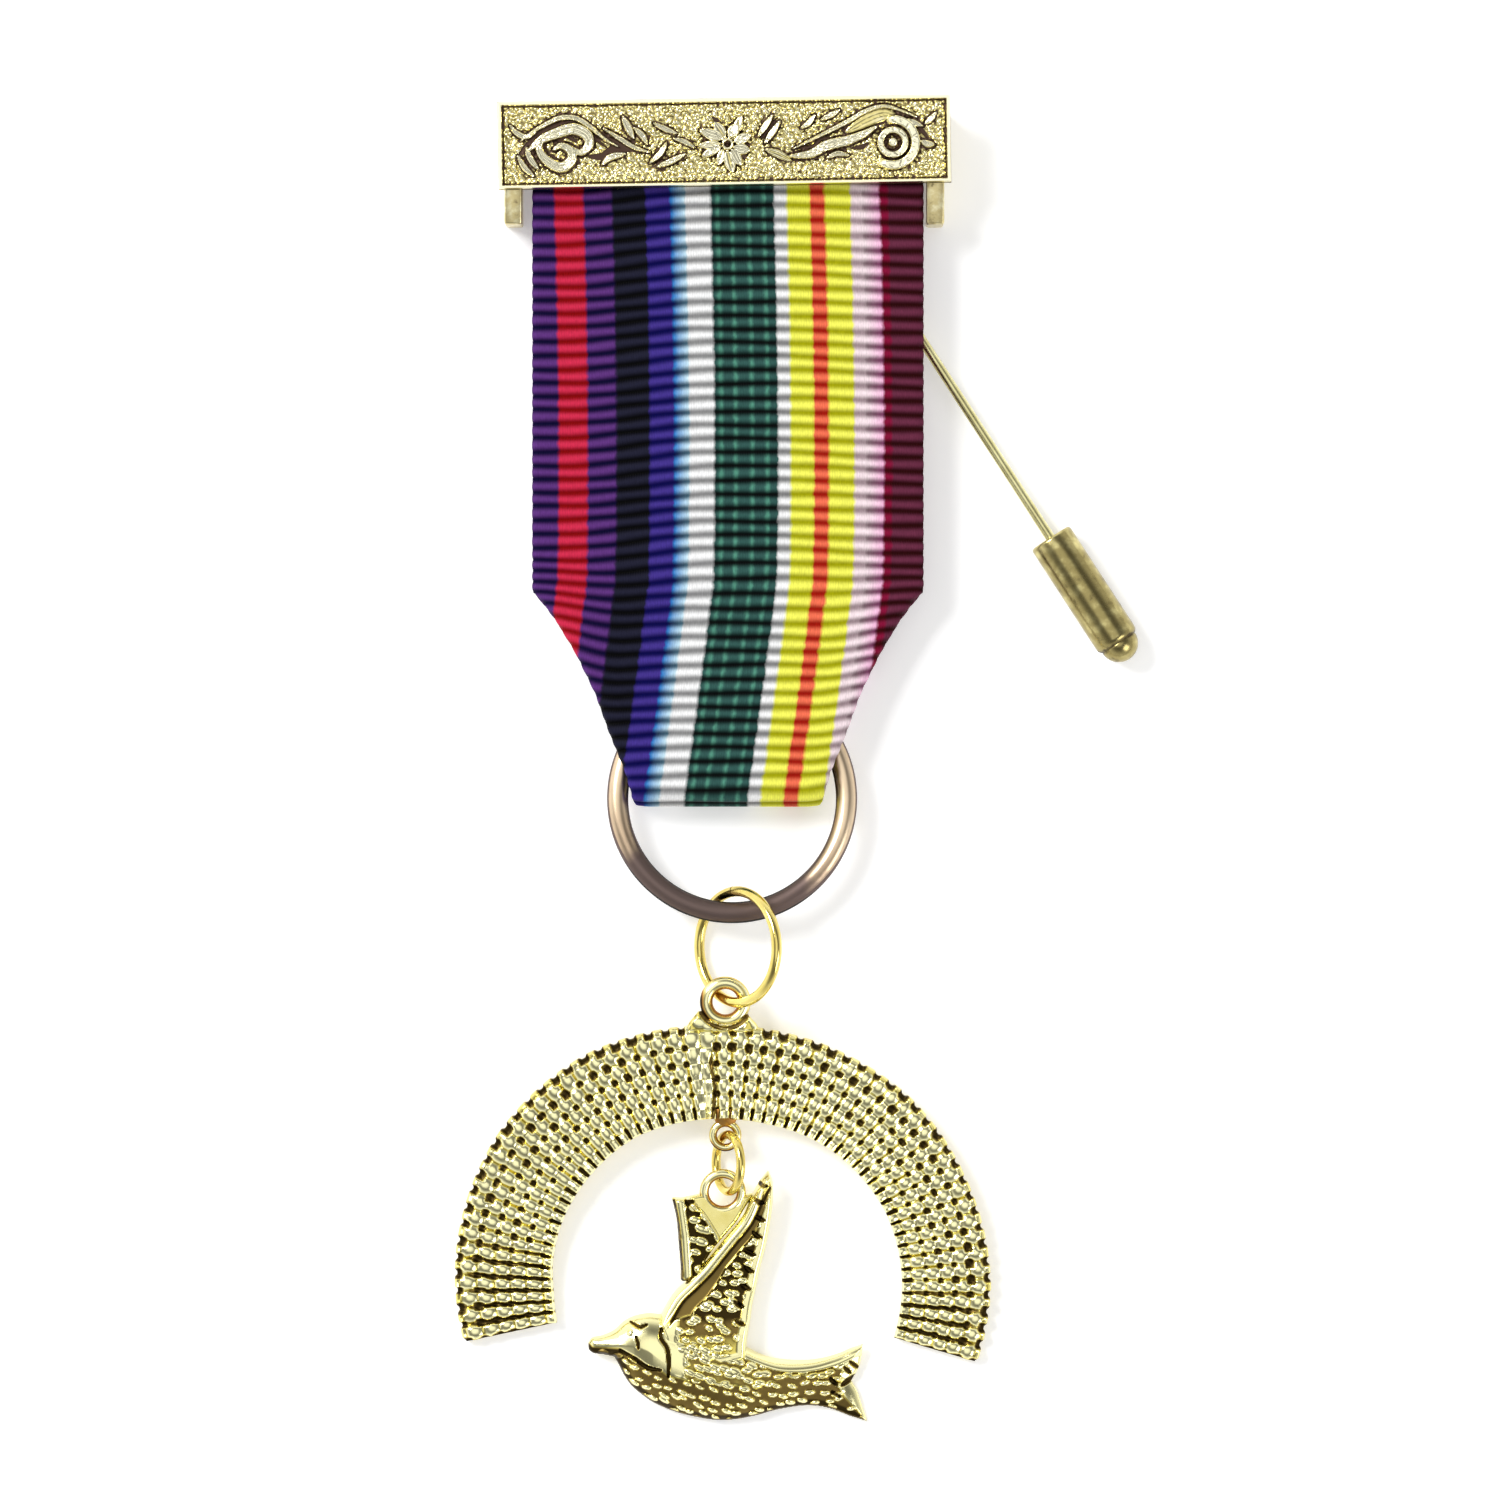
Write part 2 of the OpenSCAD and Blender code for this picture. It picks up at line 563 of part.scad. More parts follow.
module pin_cap() {
    color("darkgoldenrod")
    along_pin()
    translate([0, 0, grip_from])
    difference() {
        union() {
            cylinder(d = cap_d, h = cap_l - ball_r - cap_step);
            translate([0, 0, cap_l - ball_r - cap_step])
            cylinder(d1 = cap_d, d2 = 2 * ball_neck * ball_r, h = cap_step);
            translate([0, 0, cap_l - ball_r])
            sphere(r = ball_r);
        }
        translate([0, 0, -cap_grip])
        cylinder(d = pin_d + 2 * fit_gap, h = cap_grip + cap_hole);
    }
}

bar();
ribbon();
suspension_ring();
jump_ring();
rainbow_arch();
dove_ring();
dove();
pin();
pin_cap();
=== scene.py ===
# %% [markdown]
# # A breast jewel: gilt castings, wire rings and a ribbed silk ribbon
# The jewel lies on its back on a pale table. A cast bar carries a striped ribbon, the ribbon carries
# a bronze ring, and two small gilt rings carry a studded rainbow arch and a dove. Behind the ribbon a
# capped stick pin swings out. The solid model of it is already packed, so this lesson only dresses
# it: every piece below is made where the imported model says, and rides on one of its bodies.

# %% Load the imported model
import math

import bmesh
import bpy
import numpy as np
from mathutils import Matrix, Vector


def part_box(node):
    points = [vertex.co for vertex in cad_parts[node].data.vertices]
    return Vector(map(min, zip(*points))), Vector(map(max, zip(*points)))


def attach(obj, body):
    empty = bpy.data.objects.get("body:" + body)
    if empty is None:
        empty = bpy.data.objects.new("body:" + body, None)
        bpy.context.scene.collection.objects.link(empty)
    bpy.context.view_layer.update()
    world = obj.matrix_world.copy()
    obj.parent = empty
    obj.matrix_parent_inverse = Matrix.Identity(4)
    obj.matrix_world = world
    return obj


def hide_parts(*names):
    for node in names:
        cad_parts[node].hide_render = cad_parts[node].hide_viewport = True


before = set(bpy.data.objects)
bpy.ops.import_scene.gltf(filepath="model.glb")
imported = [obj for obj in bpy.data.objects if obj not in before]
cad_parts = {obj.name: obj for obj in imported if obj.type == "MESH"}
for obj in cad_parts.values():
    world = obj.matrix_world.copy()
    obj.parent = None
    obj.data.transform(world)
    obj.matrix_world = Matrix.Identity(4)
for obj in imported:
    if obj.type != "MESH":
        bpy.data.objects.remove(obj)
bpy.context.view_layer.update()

scene = bpy.context.scene
scene.view_settings.view_transform = "Standard"
print("nodes:", sorted(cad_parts))

# %% [markdown]
# ## Numbers in millimetres
# A jewel is measured in millimetres and Blender works in metres, so the shapes are worked out in
# millimetres and turned into metres once, when a mesh is made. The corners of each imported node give
# the places.

# %% Boxes in millimetres
MM = 0.001


def box_mm(node):
    """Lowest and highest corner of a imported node, in millimetres."""
    low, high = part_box(node)
    return np.array(low) / MM, np.array(high) / MM


def smooth(a, b, x):
    """0 below a, 1 above b and a soft step between them."""
    t = np.clip((x - a) / (b - a), 0, 1)
    return t * t * (3 - 2 * t)


for node in sorted(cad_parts):
    low, high = box_mm(node)
    print(f"{node:16s} {np.round(high - low, 2)} mm")

# %% [markdown]
# ## Making a mesh from arrays
# Cast relief, ribs and studs are heights over a sheet. Modelled by hand they would take days, so
# each is a function of the place, worked out for a whole grid at once with numpy. The helper below
# turns points and faces into a piece. It also stores numbers at the points, such as how deep a place
# lies in a recess, which the materials read back by name.

# %% Helpers for meshes
def grid_faces(rows, columns, closed_rows=False, closed_columns=False, start=0):
    """Four-sided faces between neighbouring points of a grid."""
    r = np.arange(rows if closed_rows else rows - 1)
    c = np.arange(columns if closed_columns else columns - 1)
    r, c = np.meshgrid(r, c, indexing="ij")
    up, right = (r + 1) % rows, (c + 1) % columns
    corners = [r * columns + c, r * columns + right, up * columns + right, up * columns + c]
    return (np.stack(corners, -1).reshape(-1, 4) + start).tolist()


def slab(x, y, top, bottom):
    """A closed plate with a height field on its upper side and a flat underside."""
    rows, columns = top.shape
    number = np.arange(rows * columns).reshape(rows, columns)
    border = np.concatenate([number[0, :-1], number[:-1, -1], number[-1, :0:-1], number[:0:-1, 0]])
    upper = np.stack([x, y, top], -1).reshape(-1, 3)
    lower = upper[border].copy()
    lower[:, 2] = bottom
    count = len(border)
    first = len(upper)
    following = np.roll(np.arange(count), -1)
    sides = np.stack([border, first + np.arange(count), first + following, border[following]], -1)
    faces = grid_faces(rows, columns) + sides.tolist() + [list(range(first + count - 1, first - 1, -1))]
    return np.concatenate([upper, lower]), faces, border


def torus(radius, wire, around=160, section=28, gap=0.0):
    """A ring in the XY plane. A gap, in degrees, leaves it open as a jump ring is."""
    closed = gap == 0
    turn = np.radians(np.linspace(gap / 2, 360 - gap / 2, around, endpoint=not closed))
    tilt = np.linspace(0, 2 * np.pi, section, endpoint=False)
    turn, tilt = np.meshgrid(turn, tilt, indexing="ij")
    reach = radius + wire / 2 * np.cos(tilt)
    points = np.stack([reach * np.cos(turn), reach * np.sin(turn), wire / 2 * np.sin(tilt)], -1)
    faces = grid_faces(around, section, closed, True)
    if not closed:
        last = (around - 1) * section
        faces += [list(range(section)), list(range(last + section - 1, last - 1, -1))]
    return points.reshape(-1, 3), faces


def turned(profile, section=64):
    """A shape turned on a lathe round Z from (radius, height) pairs, with both ends closed."""
    profile = np.array(profile, float)
    turn = np.linspace(0, 2 * np.pi, section, endpoint=False)
    points = np.stack([profile[:, :1] * np.cos(turn), profile[:, :1] * np.sin(turn),
                       profile[:, 1:] + 0 * turn], -1)
    faces = grid_faces(len(profile), section, False, True)
    last = (len(profile) - 1) * section
    ends = [list(range(section - 1, -1, -1)), list(range(last, last + section))]
    return points.reshape(-1, 3), faces + ends


def placed(points, turn=(0, 0, 0), at=(0, 0, 0)):
    """Points turned about X, then Y, then Z, in degrees, and moved."""
    rotation = Matrix.Identity(3)
    for axis, angle in zip("XYZ", turn):
        rotation = Matrix.Rotation(math.radians(angle), 3, axis) @ rotation
    return np.asarray(points) @ np.array(rotation).T + np.array(at)


def joined(*parts):
    """Several shapes as one list of points and one list of faces."""
    points, faces, count = [], [], 0
    for part_points, part_faces in parts:
        points.append(np.asarray(part_points))
        faces += [[count + i for i in face] for face in part_faces]
        count += len(part_points)
    return np.concatenate(points), faces


def make_piece(name, points, faces, body, nodes, material, marks=None, sharp=55):
    """A piece from points in millimetres, with the numbers that its material reads."""
    mesh = bpy.data.meshes.new(name)
    mesh.from_pydata((np.asarray(points, float) * MM).tolist(), [], faces)
    for mark, values in (marks or {}).items():
        layer = mesh.attributes.new(mark, "FLOAT", "POINT")
        layer.data.foreach_set("value", np.asarray(values, np.float32).ravel())
    mesh.shade_smooth()
    mesh.set_sharp_from_angle(angle=math.radians(sharp))
    mesh.materials.append(material)
    piece = bpy.data.objects.new(name, mesh)
    scene.collection.objects.link(piece)
    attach(piece, body)
    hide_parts(*nodes)
    triangles = sum(len(face) - 2 for face in faces)
    print(f"{name}: {len(points)} points, {triangles} triangles")
    return piece


# %% [markdown]
# ## Drawing relief
# A carver thinks in strokes: a stem, a leaf, a cut beside it. Here a stroke is a curve through a few
# points with a width. Its height is that of a rounded ridge, worked out from the distance to the
# curve. Small irregular lumps, such as the matted ground behind the scrolls, come from one seeded
# cell pattern.

# %% Helpers for relief
def curve(points, steps=8):
    """A smooth curve through a few points."""
    p = np.array(points, float)
    p = np.vstack([2 * p[0] - p[1], p, 2 * p[-1] - p[-2]])
    t = np.linspace(0, 1, steps, endpoint=False)[:, None]
    parts = []
    for a, b, c, d in zip(p[:-3], p[1:-2], p[2:-1], p[3:]):
        parts.append(0.5 * (2 * b + (c - a) * t + (2 * a - 5 * b + 4 * c - d) * t ** 2
                            + (3 * b - a - 3 * c + d) * t ** 3))
    return np.vstack(parts + [p[-2:-1]])


def near_path(x, y, path):
    """Distance from each place to a path, the share of its length there, and the side."""
    path = np.asarray(path)
    lengths = np.hypot(*np.diff(path, axis=0).T)
    starts = np.concatenate([[0], np.cumsum(lengths)])
    best = np.full(x.shape, 1e9)
    share = np.zeros(x.shape)
    side = np.zeros(x.shape)
    for (ax, ay), (bx, by), length, start in zip(path[:-1], path[1:], lengths, starts):
        ux, uy = (bx - ax) / length, (by - ay) / length
        t = np.clip((x - ax) * ux + (y - ay) * uy, 0, length)
        away = np.hypot(x - ax - t * ux, y - ay - t * uy)
        closer = away < best
        best = np.where(closer, away, best)
        share = np.where(closer, (start + t) / starts[-1], share)
        side = np.where(closer, ux * (y - ay) - uy * (x - ax), side)
    return best, share, side


def round_top(away, reach):
    """Height from 0 to 1 of a round ridge, at a distance from its middle line."""
    return np.sqrt(np.clip(1 - (away / reach) ** 2, 0, 1))


def stroke(x, y, points, width, blunt=0.25):
    """Height from 0 to 1 of a rounded stroke that narrows to both its ends."""
    path = curve(points)
    (x0, y0), (x1, y1) = path.min(0) - width, path.max(0) + width
    inside = (x > x0) & (x < x1) & (y > y0) & (y < y1)
    height = np.zeros(x.shape)
    away, share, _ = near_path(x[inside], y[inside], path)
    reach = width / 2 * (blunt + (1 - blunt) * np.sin(np.pi * share) ** 0.7)
    height[inside] = round_top(away, reach)
    return height


def lumps(x, y, pitch, seed, stretch=1.0, lean=None, jitter=0.7, fill=0.62, row_shift=0.5):
    """Height from 0 to 1 of rounded lumps, one in each cell of a staggered and jittered grid.
    Without a lean, in degrees, each lump lies its own way."""
    wide, tall = pitch
    rng = np.random.default_rng(seed)
    rows = int(np.ptp(y) / tall) + 6
    columns = int(np.ptp(x) / wide) + 6
    dx, dy = rng.uniform(-0.5, 0.5, (2, rows, columns)) * jitter
    if lean is None:
        angle = rng.uniform(0, np.pi, (rows, columns))
    else:
        angle = np.radians(lean + rng.uniform(-18, 18, (rows, columns)))
    size = rng.uniform(0.82, 1.12, (rows, columns))
    # Each place looks at its own cell and at the eight round it, and the highest lump counts
    v = (y - y.min()) / tall + 2
    height = np.zeros(x.shape)
    row0 = np.floor(v).astype(int)
    for dr in (-1, 0, 1):
        row = row0 + dr
        u = (x - x.min()) / wide + 2 + row_shift * (row % 2)
        column0 = np.floor(u).astype(int)
        for dc in (-1, 0, 1):
            column = column0 + dc
            px = (u - column - 0.5 - dx[row, column]) * wide
            py = (v - row - 0.5 - dy[row, column]) * tall
            c, s = np.cos(angle[row, column]), np.sin(angle[row, column])
            long = size[row, column] * fill * max(wide, tall) * stretch
            short = size[row, column] * fill * min(wide, tall) / stretch
            e = ((px * c + py * s) / long) ** 2 + ((py * c - px * s) / short) ** 2
            height = np.maximum(height, np.sqrt(np.clip(1 - e, 0, 1)))
    return height


def blurred(field, cells):
    """The field averaged over a square of 2 cells + 1 on each side, twice."""
    for _ in range(2):
        for axis in (0, 1):
            pad = [(cells + 1, cells) if a == axis else (0, 0) for a in (0, 1)]
            total = np.cumsum(np.pad(field, pad, mode="edge"), axis=axis)
            count = field.shape[axis]
            ahead = np.take(total, np.arange(2 * cells + 1, 2 * cells + 1 + count), axis=axis)
            behind = np.take(total, np.arange(count), axis=axis)
            field = (ahead - behind) / (2 * cells + 1)
    return field


def recess(height, cells, depth):
    """0 on proud places, about a half on even ones and 1 deep in a recess."""
    return np.clip(0.5 + (blurred(height, cells) - height) / depth, 0, 1)


def slab_marks(deep, most, border, under):
    """Marks of a slab: those of its upper side up to a limit, and one value for its underside."""
    return np.concatenate([np.clip(deep, 0, most).ravel(), np.full(len(border), under)])


# %% [markdown]
# ## Shader building blocks
# A cast and plated surface is never one colour. Its proud parts are polished bright, the recesses
# keep a dark brown tarnish, the same colour serves as painted shade at some edges and between studs,
# the deepest pits are painted near black as shade, and the plating is mottled at the scale of a grain
# of sand. Silk ribbon has a painted pale sheen on the crown of each rib and painted dark, saturated
# shade in the valleys. Each effect is a node group with named inputs, used by several materials with
# their own values.

# %% Helpers for shader nodes
def linear(red, green, blue):
    """A screen colour from 0 to 255 as the linear colour that a shader takes."""
    def one(value):
        value = value / 255
        return value / 12.92 if value <= 0.04045 else ((value + 0.055) / 1.055) ** 2.4
    return one(red), one(green), one(blue), 1.0


def add(tree, kind, settings=None, sockets=None):
    """A new node. Its sockets take either a number or the output that feeds them."""
    node = tree.nodes.new(kind)
    for key, value in (settings or {}).items():
        setattr(node, key, value)
    for key, value in (sockets or {}).items():
        if isinstance(value, bpy.types.NodeSocket):
            tree.links.new(value, node.inputs[key])
        else:
            node.inputs[key].default_value = value
    return node


def maths(tree, operation, a, b=0.0, c=0.0):
    """One step of arithmetic on up to three values."""
    return add(tree, "ShaderNodeMath", {"operation": operation}, {0: a, 1: b, 2: c}).outputs[0]


def mixed(tree, share, a, b):
    """Colour a where share is 0 and colour b where it is 1."""
    return add(tree, "ShaderNodeMix", {"data_type": "RGBA"}, {0: share, 6: a, 7: b}).outputs[2]


def between(tree, value, low, high):
    """A soft step from 0 to 1 of a value between low and high."""
    return add(tree, "ShaderNodeMapRange", {"interpolation_type": "SMOOTHSTEP"},
               {0: value, 1: low, 2: high}).outputs[0]


def noise(tree, place, size, detail=3.0, stretch=(1.0, 1.0, 1.0)):
    """Noise from 0 to 1 with patches of a size in millimetres."""
    scaled = add(tree, "ShaderNodeVectorMath", {"operation": "MULTIPLY"}, {0: place, 1: stretch})
    return add(tree, "ShaderNodeTexNoise", None,
               {"Vector": scaled.outputs[0], "Scale": maths(tree, "DIVIDE", 1 / MM, size),
                "Detail": detail}).outputs[0]


def new_group(name, *inputs):
    """An empty node group that puts out a finish. Each input is (name, kind, value)."""
    group = bpy.data.node_groups.new(name, "ShaderNodeTree")
    for label, kind, value in inputs:
        socket = group.interface.new_socket(name=label, in_out="INPUT", socket_type="NodeSocket" + kind)
        socket.default_value = value
    for label, kind in (("Color", "Color"), ("Roughness", "Float"), ("Height", "Float")):
        group.interface.new_socket(name=label, in_out="OUTPUT", socket_type="NodeSocket" + kind)
    start = group.nodes.new("NodeGroupInput").outputs
    return group, start, group.nodes.new("NodeGroupOutput").inputs


def put_out(tree, result, color, rough, height):
    """Link a finish to the end of its group."""
    for label, value in (("Color", color), ("Roughness", rough), ("Height", height)):
        tree.links.new(value, result[label])


# %% Gilt casting: tarnish and painted shade in the recesses, near-black painted shade in the pits, mottled plating
BLACK = (0, 0, 0, 1)
# Depths between which proud metal turns even and tarnish turns into the painted near-black shade of a
# pit, and how soon tarnish and painted shade are full
EVEN_AT, PIT_SHADE_AT, tarnish_and_shade_step = (0.22, 0.55), (1.08, 1.32), 0.22
# Sizes in millimetres of the plating's grain, of scratches on wire and of silk fibres
grain_size, scratch_size, fibre_size = 0.09, 0.16, 0.3
gilt_group, given, result = new_group(
    "Gilt casting",
    ("Recess", "Float", 0.5), ("Proud Color", "Color", BLACK), ("Even Color", "Color", BLACK),
    ("Tarnish And Shade Color", "Color", BLACK), ("Pit Shade Color", "Color", BLACK), ("Tarnish And Shade Start", "Float", 0.6),
    ("Mottle Size", "Float", 1.2), ("Mottle", "Float", 0.25), ("Polish", "Float", 0.16))
place = add(gilt_group, "ShaderNodeTexCoord").outputs["Object"]
patches = noise(gilt_group, place, given["Mottle Size"])
grain = noise(gilt_group, place, grain_size, 2.0)
shift = maths(gilt_group, "MULTIPLY", maths(gilt_group, "SUBTRACT", patches, 0.5), given["Mottle"])
depth = maths(gilt_group, "ADD", given["Recess"], shift)
even = between(gilt_group, depth, *EVEN_AT)
tarnish_and_shade_end = maths(gilt_group, "ADD", given["Tarnish And Shade Start"], tarnish_and_shade_step)
# Tarnish in the recesses, and painted shade where a piece's marks paint it
tarnish_and_shade = between(gilt_group, depth, given["Tarnish And Shade Start"], tarnish_and_shade_end)
metal = mixed(gilt_group, even, given["Proud Color"], given["Even Color"])
metal = mixed(gilt_group, tarnish_and_shade, metal, given["Tarnish And Shade Color"])
# Painted near-black shade where the marks are deepest
metal = mixed(gilt_group, between(gilt_group, depth, *PIT_SHADE_AT), metal, given["Pit Shade Color"])
rough = maths(gilt_group, "MULTIPLY_ADD", patches, 0.12, given["Polish"])
rough = maths(gilt_group, "MULTIPLY_ADD", tarnish_and_shade, 0.25, rough)
put_out(gilt_group, result, metal, rough, maths(gilt_group, "MULTIPLY_ADD", grain, 0.4, patches))

# %% Drawn wire: two tones that run into each other and fine scratches
wire_group, given, result = new_group(
    "Drawn wire",
    ("Main Color", "Color", BLACK), ("Second Color", "Color", BLACK), ("Patch Size", "Float", 3.0),
    ("Contrast", "Float", 0.3), ("Polish", "Float", 0.15))
place = add(wire_group, "ShaderNodeTexCoord").outputs["Object"]
patches = noise(wire_group, place, given["Patch Size"])
scratches = noise(wire_group, place, scratch_size, 4.0, (1.0, 0.12, 1.0))
low = maths(wire_group, "SUBTRACT", 0.5, given["Contrast"])
high = maths(wire_group, "ADD", 0.5, given["Contrast"])
second = between(wire_group, patches, low, high)
metal = mixed(wire_group, second, given["Main Color"], given["Second Color"])
rough = maths(wire_group, "MULTIPLY_ADD", scratches, 0.14, given["Polish"])
put_out(wire_group, result, metal, rough, scratches)

# %% Ribbed silk: painted shade in the valleys and fine warp threads
silk_group, given, result = new_group(
    "Ribbed silk",
    ("Crown Color", "Color", BLACK), ("Valley Shade Color", "Color", BLACK), ("Valley", "Float", 0.0),
    ("Across", "Float", 0.0), ("Thread", "Float", 0.24))
place = add(silk_group, "ShaderNodeTexCoord").outputs["Object"]
fibre = noise(silk_group, place, fibre_size, 4.0, (2.2, 0.6, 1.0))
turns = maths(silk_group, "DIVIDE", given["Across"], given["Thread"])
warp = maths(silk_group, "SINE", maths(silk_group, "MULTIPLY", turns, 2 * math.pi))
cloth = mixed(silk_group, given["Valley"], given["Crown Color"], given["Valley Shade Color"])
streak = maths(silk_group, "MULTIPLY_ADD", fibre, 0.5, 0.73)
streak = maths(silk_group, "MULTIPLY_ADD", warp, 0.035, streak)
cloth = add(silk_group, "ShaderNodeVectorMath", {"operation": "SCALE"}, {0: cloth, "Scale": streak})
put_out(silk_group, result, cloth.outputs[0], maths(silk_group, "MULTIPLY_ADD", fibre, 0.2, 0.45),
        maths(silk_group, "MULTIPLY_ADD", warp, 0.5, fibre))
print("groups:", [group.name for group in bpy.data.node_groups])

# %% [markdown]
# ## The metals
# All the metals share two groups. The castings, the bronze ring and the cap read from the mesh how
# deep or how worn a place is, and where shade is painted on it. The gilt rings and the pin have no
# marks, so their tone changes in slow patches, as thin plating does. Metallic is a constant 1, and the
# bump stays small, because the relief is real geometry. Each metal is one call with its colours and
# numbers, so they are easy to compare.

# %% Helpers for materials
def new_material(name):
    """A new material, its tree and its shader."""
    material = bpy.data.materials.new(name)
    material.use_nodes = True
    return material, material.node_tree, material.node_tree.nodes["Principled BSDF"]


def dress(tree, shader, finish, bump, bump_mm):
    """Put a group's colour, roughness and fine height on the shader."""
    relief = add(tree, "ShaderNodeBump", None,
                 {"Strength": bump, "Distance": bump_mm * MM, "Height": finish.outputs["Height"]})
    tree.links.new(finish.outputs["Color"], shader.inputs["Base Color"])
    tree.links.new(finish.outputs["Roughness"], shader.inputs["Roughness"])
    tree.links.new(relief.outputs["Normal"], shader.inputs["Normal"])


def metal_material(name, group, values, marked=False, bump=0.15):
    """A metal finished by one group. A marked one reads its recess from the mesh."""
    material, tree, shader = new_material(name)
    shader.inputs["Metallic"].default_value = 1.0
    finish = add(tree, "ShaderNodeGroup", {"node_tree": group}, values)
    if marked:
        source = add(tree, "ShaderNodeAttribute", {"attribute_name": "recess"})
        tree.links.new(source.outputs["Fac"], finish.inputs["Recess"])
    dress(tree, shader, finish, bump, 0.02)
    return material


def casting(name, colours, start, mottle_size, mottle, polish, bump=0.15, recess=None):
    """A metal of the casting group, with its colours from the proud places down to the painted shade
    of the pits. It reads its recess from the mesh, unless one is given for all of it."""
    labels = ("Proud Color", "Even Color", "Tarnish And Shade Color", "Pit Shade Color")
    values = {label: (*colour, 1) for label, colour in zip(labels, colours)}
    values.update({"Tarnish And Shade Start": start, "Mottle Size": mottle_size, "Mottle": mottle, "Polish": polish})
    if recess is not None:
        values["Recess"] = recess
    return metal_material(name, gilt_group, values, recess is None, bump)


def wire_metal(name, main, second, patch_size, polish):
    """A metal of the wire group."""
    return metal_material(name, wire_group, {"Main Color": (*main, 1), "Second Color": (*second, 1),
                                             "Patch Size": patch_size, "Polish": polish})


# %% The metals of the jewel
bar_gilt = casting(
    "bar gilt", [(0.97, 0.92, 0.66), (0.78, 0.68, 0.28), (0.085, 0.052, 0.038), (0.02, 0.012, 0.008)],
    start=0.58, mottle_size=0.8, mottle=0.3, polish=0.16)
bracket_gilt = casting(
    "bracket gilt", [(0.95, 0.90, 0.60), (0.66, 0.56, 0.28), (0.18, 0.13, 0.07)],
    start=0.56, mottle_size=0.8, mottle=0.85, polish=0.25, bump=0.3, recess=0.48)
arch_gilt = casting(
    "arch gilt", [(0.98, 0.93, 0.52), (0.76, 0.64, 0.15), (0.19, 0.130, 0.036), (0.040, 0.026, 0.007)],
    start=0.60, mottle_size=1.5, mottle=0.22, polish=0.14)
dove_gilt = casting(
    "dove gilt", [(0.97, 0.91, 0.48), (0.78, 0.65, 0.15), (0.21, 0.145, 0.040), (0.040, 0.026, 0.007)],
    start=0.64, mottle_size=1.5, mottle=0.2, polish=0.12)
# The loops' tarnish colour is a painted warm orange reflection of gold in their shaded holes
loop_gilt = casting(
    "loop gilt", [(0.97, 0.92, 0.52), (0.80, 0.62, 0.18), (0.42, 0.20, 0.05), (0.03, 0.018, 0.006)],
    start=0.62, mottle_size=1.2, mottle=0.3, polish=0.14)
gilt_wire = wire_metal("gilt wire", (0.92, 0.78, 0.27), (0.74, 0.57, 0.14), patch_size=2.5, polish=0.08)
bronze_wire = casting(
    "bronze wire", [(0.84, 0.67, 0.46), (0.60, 0.45, 0.30), (0.155, 0.112, 0.100)],
    start=0.5, mottle_size=3.0, mottle=0.3, polish=0.24, bump=0.1)
pin_brass = wire_metal("pin brass", (0.88, 0.84, 0.46), (0.66, 0.60, 0.28), patch_size=2.0, polish=0.2)
cap_brass = casting(
    "cap brass", [(0.66, 0.58, 0.26), (0.34, 0.28, 0.11), (0.09, 0.068, 0.03)],
    start=0.56, mottle_size=1.2, mottle=0.9, polish=0.17, bump=0.25)
print("metals:", sorted(material.name for material in bpy.data.materials))

# %% [markdown]
# ## The camera
# The photograph looks straight down on the jewel from well above it, so that nothing is
# foreshortened. A long lens at 0.9 m gives that. The view is a square 146 mm across.

# %% Camera
view_centre, view_width, camera_height = (2.48, -58.8), 146.2, 900.0
camera_data = bpy.data.cameras.new("camera")
camera_data.sensor_width = 36.0
camera_data.lens = camera_data.sensor_width * camera_height / view_width
camera_data.clip_start = 0.01
camera = bpy.data.objects.new("camera", camera_data)
camera.location = Vector((*view_centre, camera_height)) * MM
scene.collection.objects.link(camera)
scene.camera = camera
print(f"lens {camera_data.lens:.1f} mm")

# %% [markdown]
# ## The bar's face
# The bar is a die-struck plate: a thin raised rim, a matted ground, a flower in the middle and a
# scroll with leaves on each side. It could be carved from a subdivided plate with the sculpt tools.
# Here the strokes of the ornament are short lists of points, so the relief can be read and changed.
# The bar lies a little askew in the photograph, so the finished face is turned by about a degree.

# %% The bar's ornament, in millimetres from its middle
# Raised strokes: height as a share of the relief, width, points
LEFT_STROKES = [
    (0.85, 0.42, [(-19.7, 0.4), (-18.6, 1.2), (-17.2, 2.0), (-15.7, 2.6), (-14.3, 2.5), (-13.0, 1.7),
                  (-11.6, 0.5), (-10.3, -0.3)]),
    (0.75, 0.45, [(-20.7, 1.9), (-20.1, 1.2), (-19.2, 0.8), (-18.2, 1.2)]),
    (1.0, 0.95, [(-18.9, -0.5), (-17.7, 0.5), (-16.2, 1.1), (-14.6, 1.5), (-13.3, 0.9), (-13.1, -0.1),
                 (-13.9, -0.8), (-14.7, -0.4)]),
    (0.95, 0.85, [(-17.6, 0.6), (-17.9, -0.5), (-17.1, -1.6), (-15.8, -2.2), (-14.8, -1.5), (-14.9, -0.6),
                  (-15.8, -0.1), (-16.5, -0.5)]),
    (0.7, 0.5, [(-19.2, -0.2), (-18.8, -1.3), (-18.0, -2.4)]),
    (0.6, 0.45, [(-20.0, -1.0), (-19.4, -2.1), (-18.5, -3.0)]),
    (0.9, 0.55, [(-11.9, -2.0), (-11.0, -1.3), (-9.6, -1.0)]),
    (0.8, 0.4, [(-11.7, 1.5), (-10.3, 0.6), (-8.7, -0.4), (-7.2, -0.9)]),
    (0.9, 0.6, [(-9.8, 2.6), (-9.3, 1.6), (-8.8, 0.5)]),
    (0.85, 0.5, [(-8.7, 1.5), (-7.9, 0.7), (-7.5, -0.1)]),
    (0.9, 0.5, [(-7.2, -1.9), (-6.2, -1.0), (-5.6, 0.0)]),
    (0.95, 0.5, [(-6.6, -2.3), (-5.2, -1.8), (-3.8, -1.1)]),
    (0.7, 0.45, [(-6.8, 1.9), (-5.6, 1.3), (-4.6, 0.9)]),
    (0.6, 0.4, [(-4.9, 0.4), (-3.9, 0.1), (-2.9, -0.5)]),
]
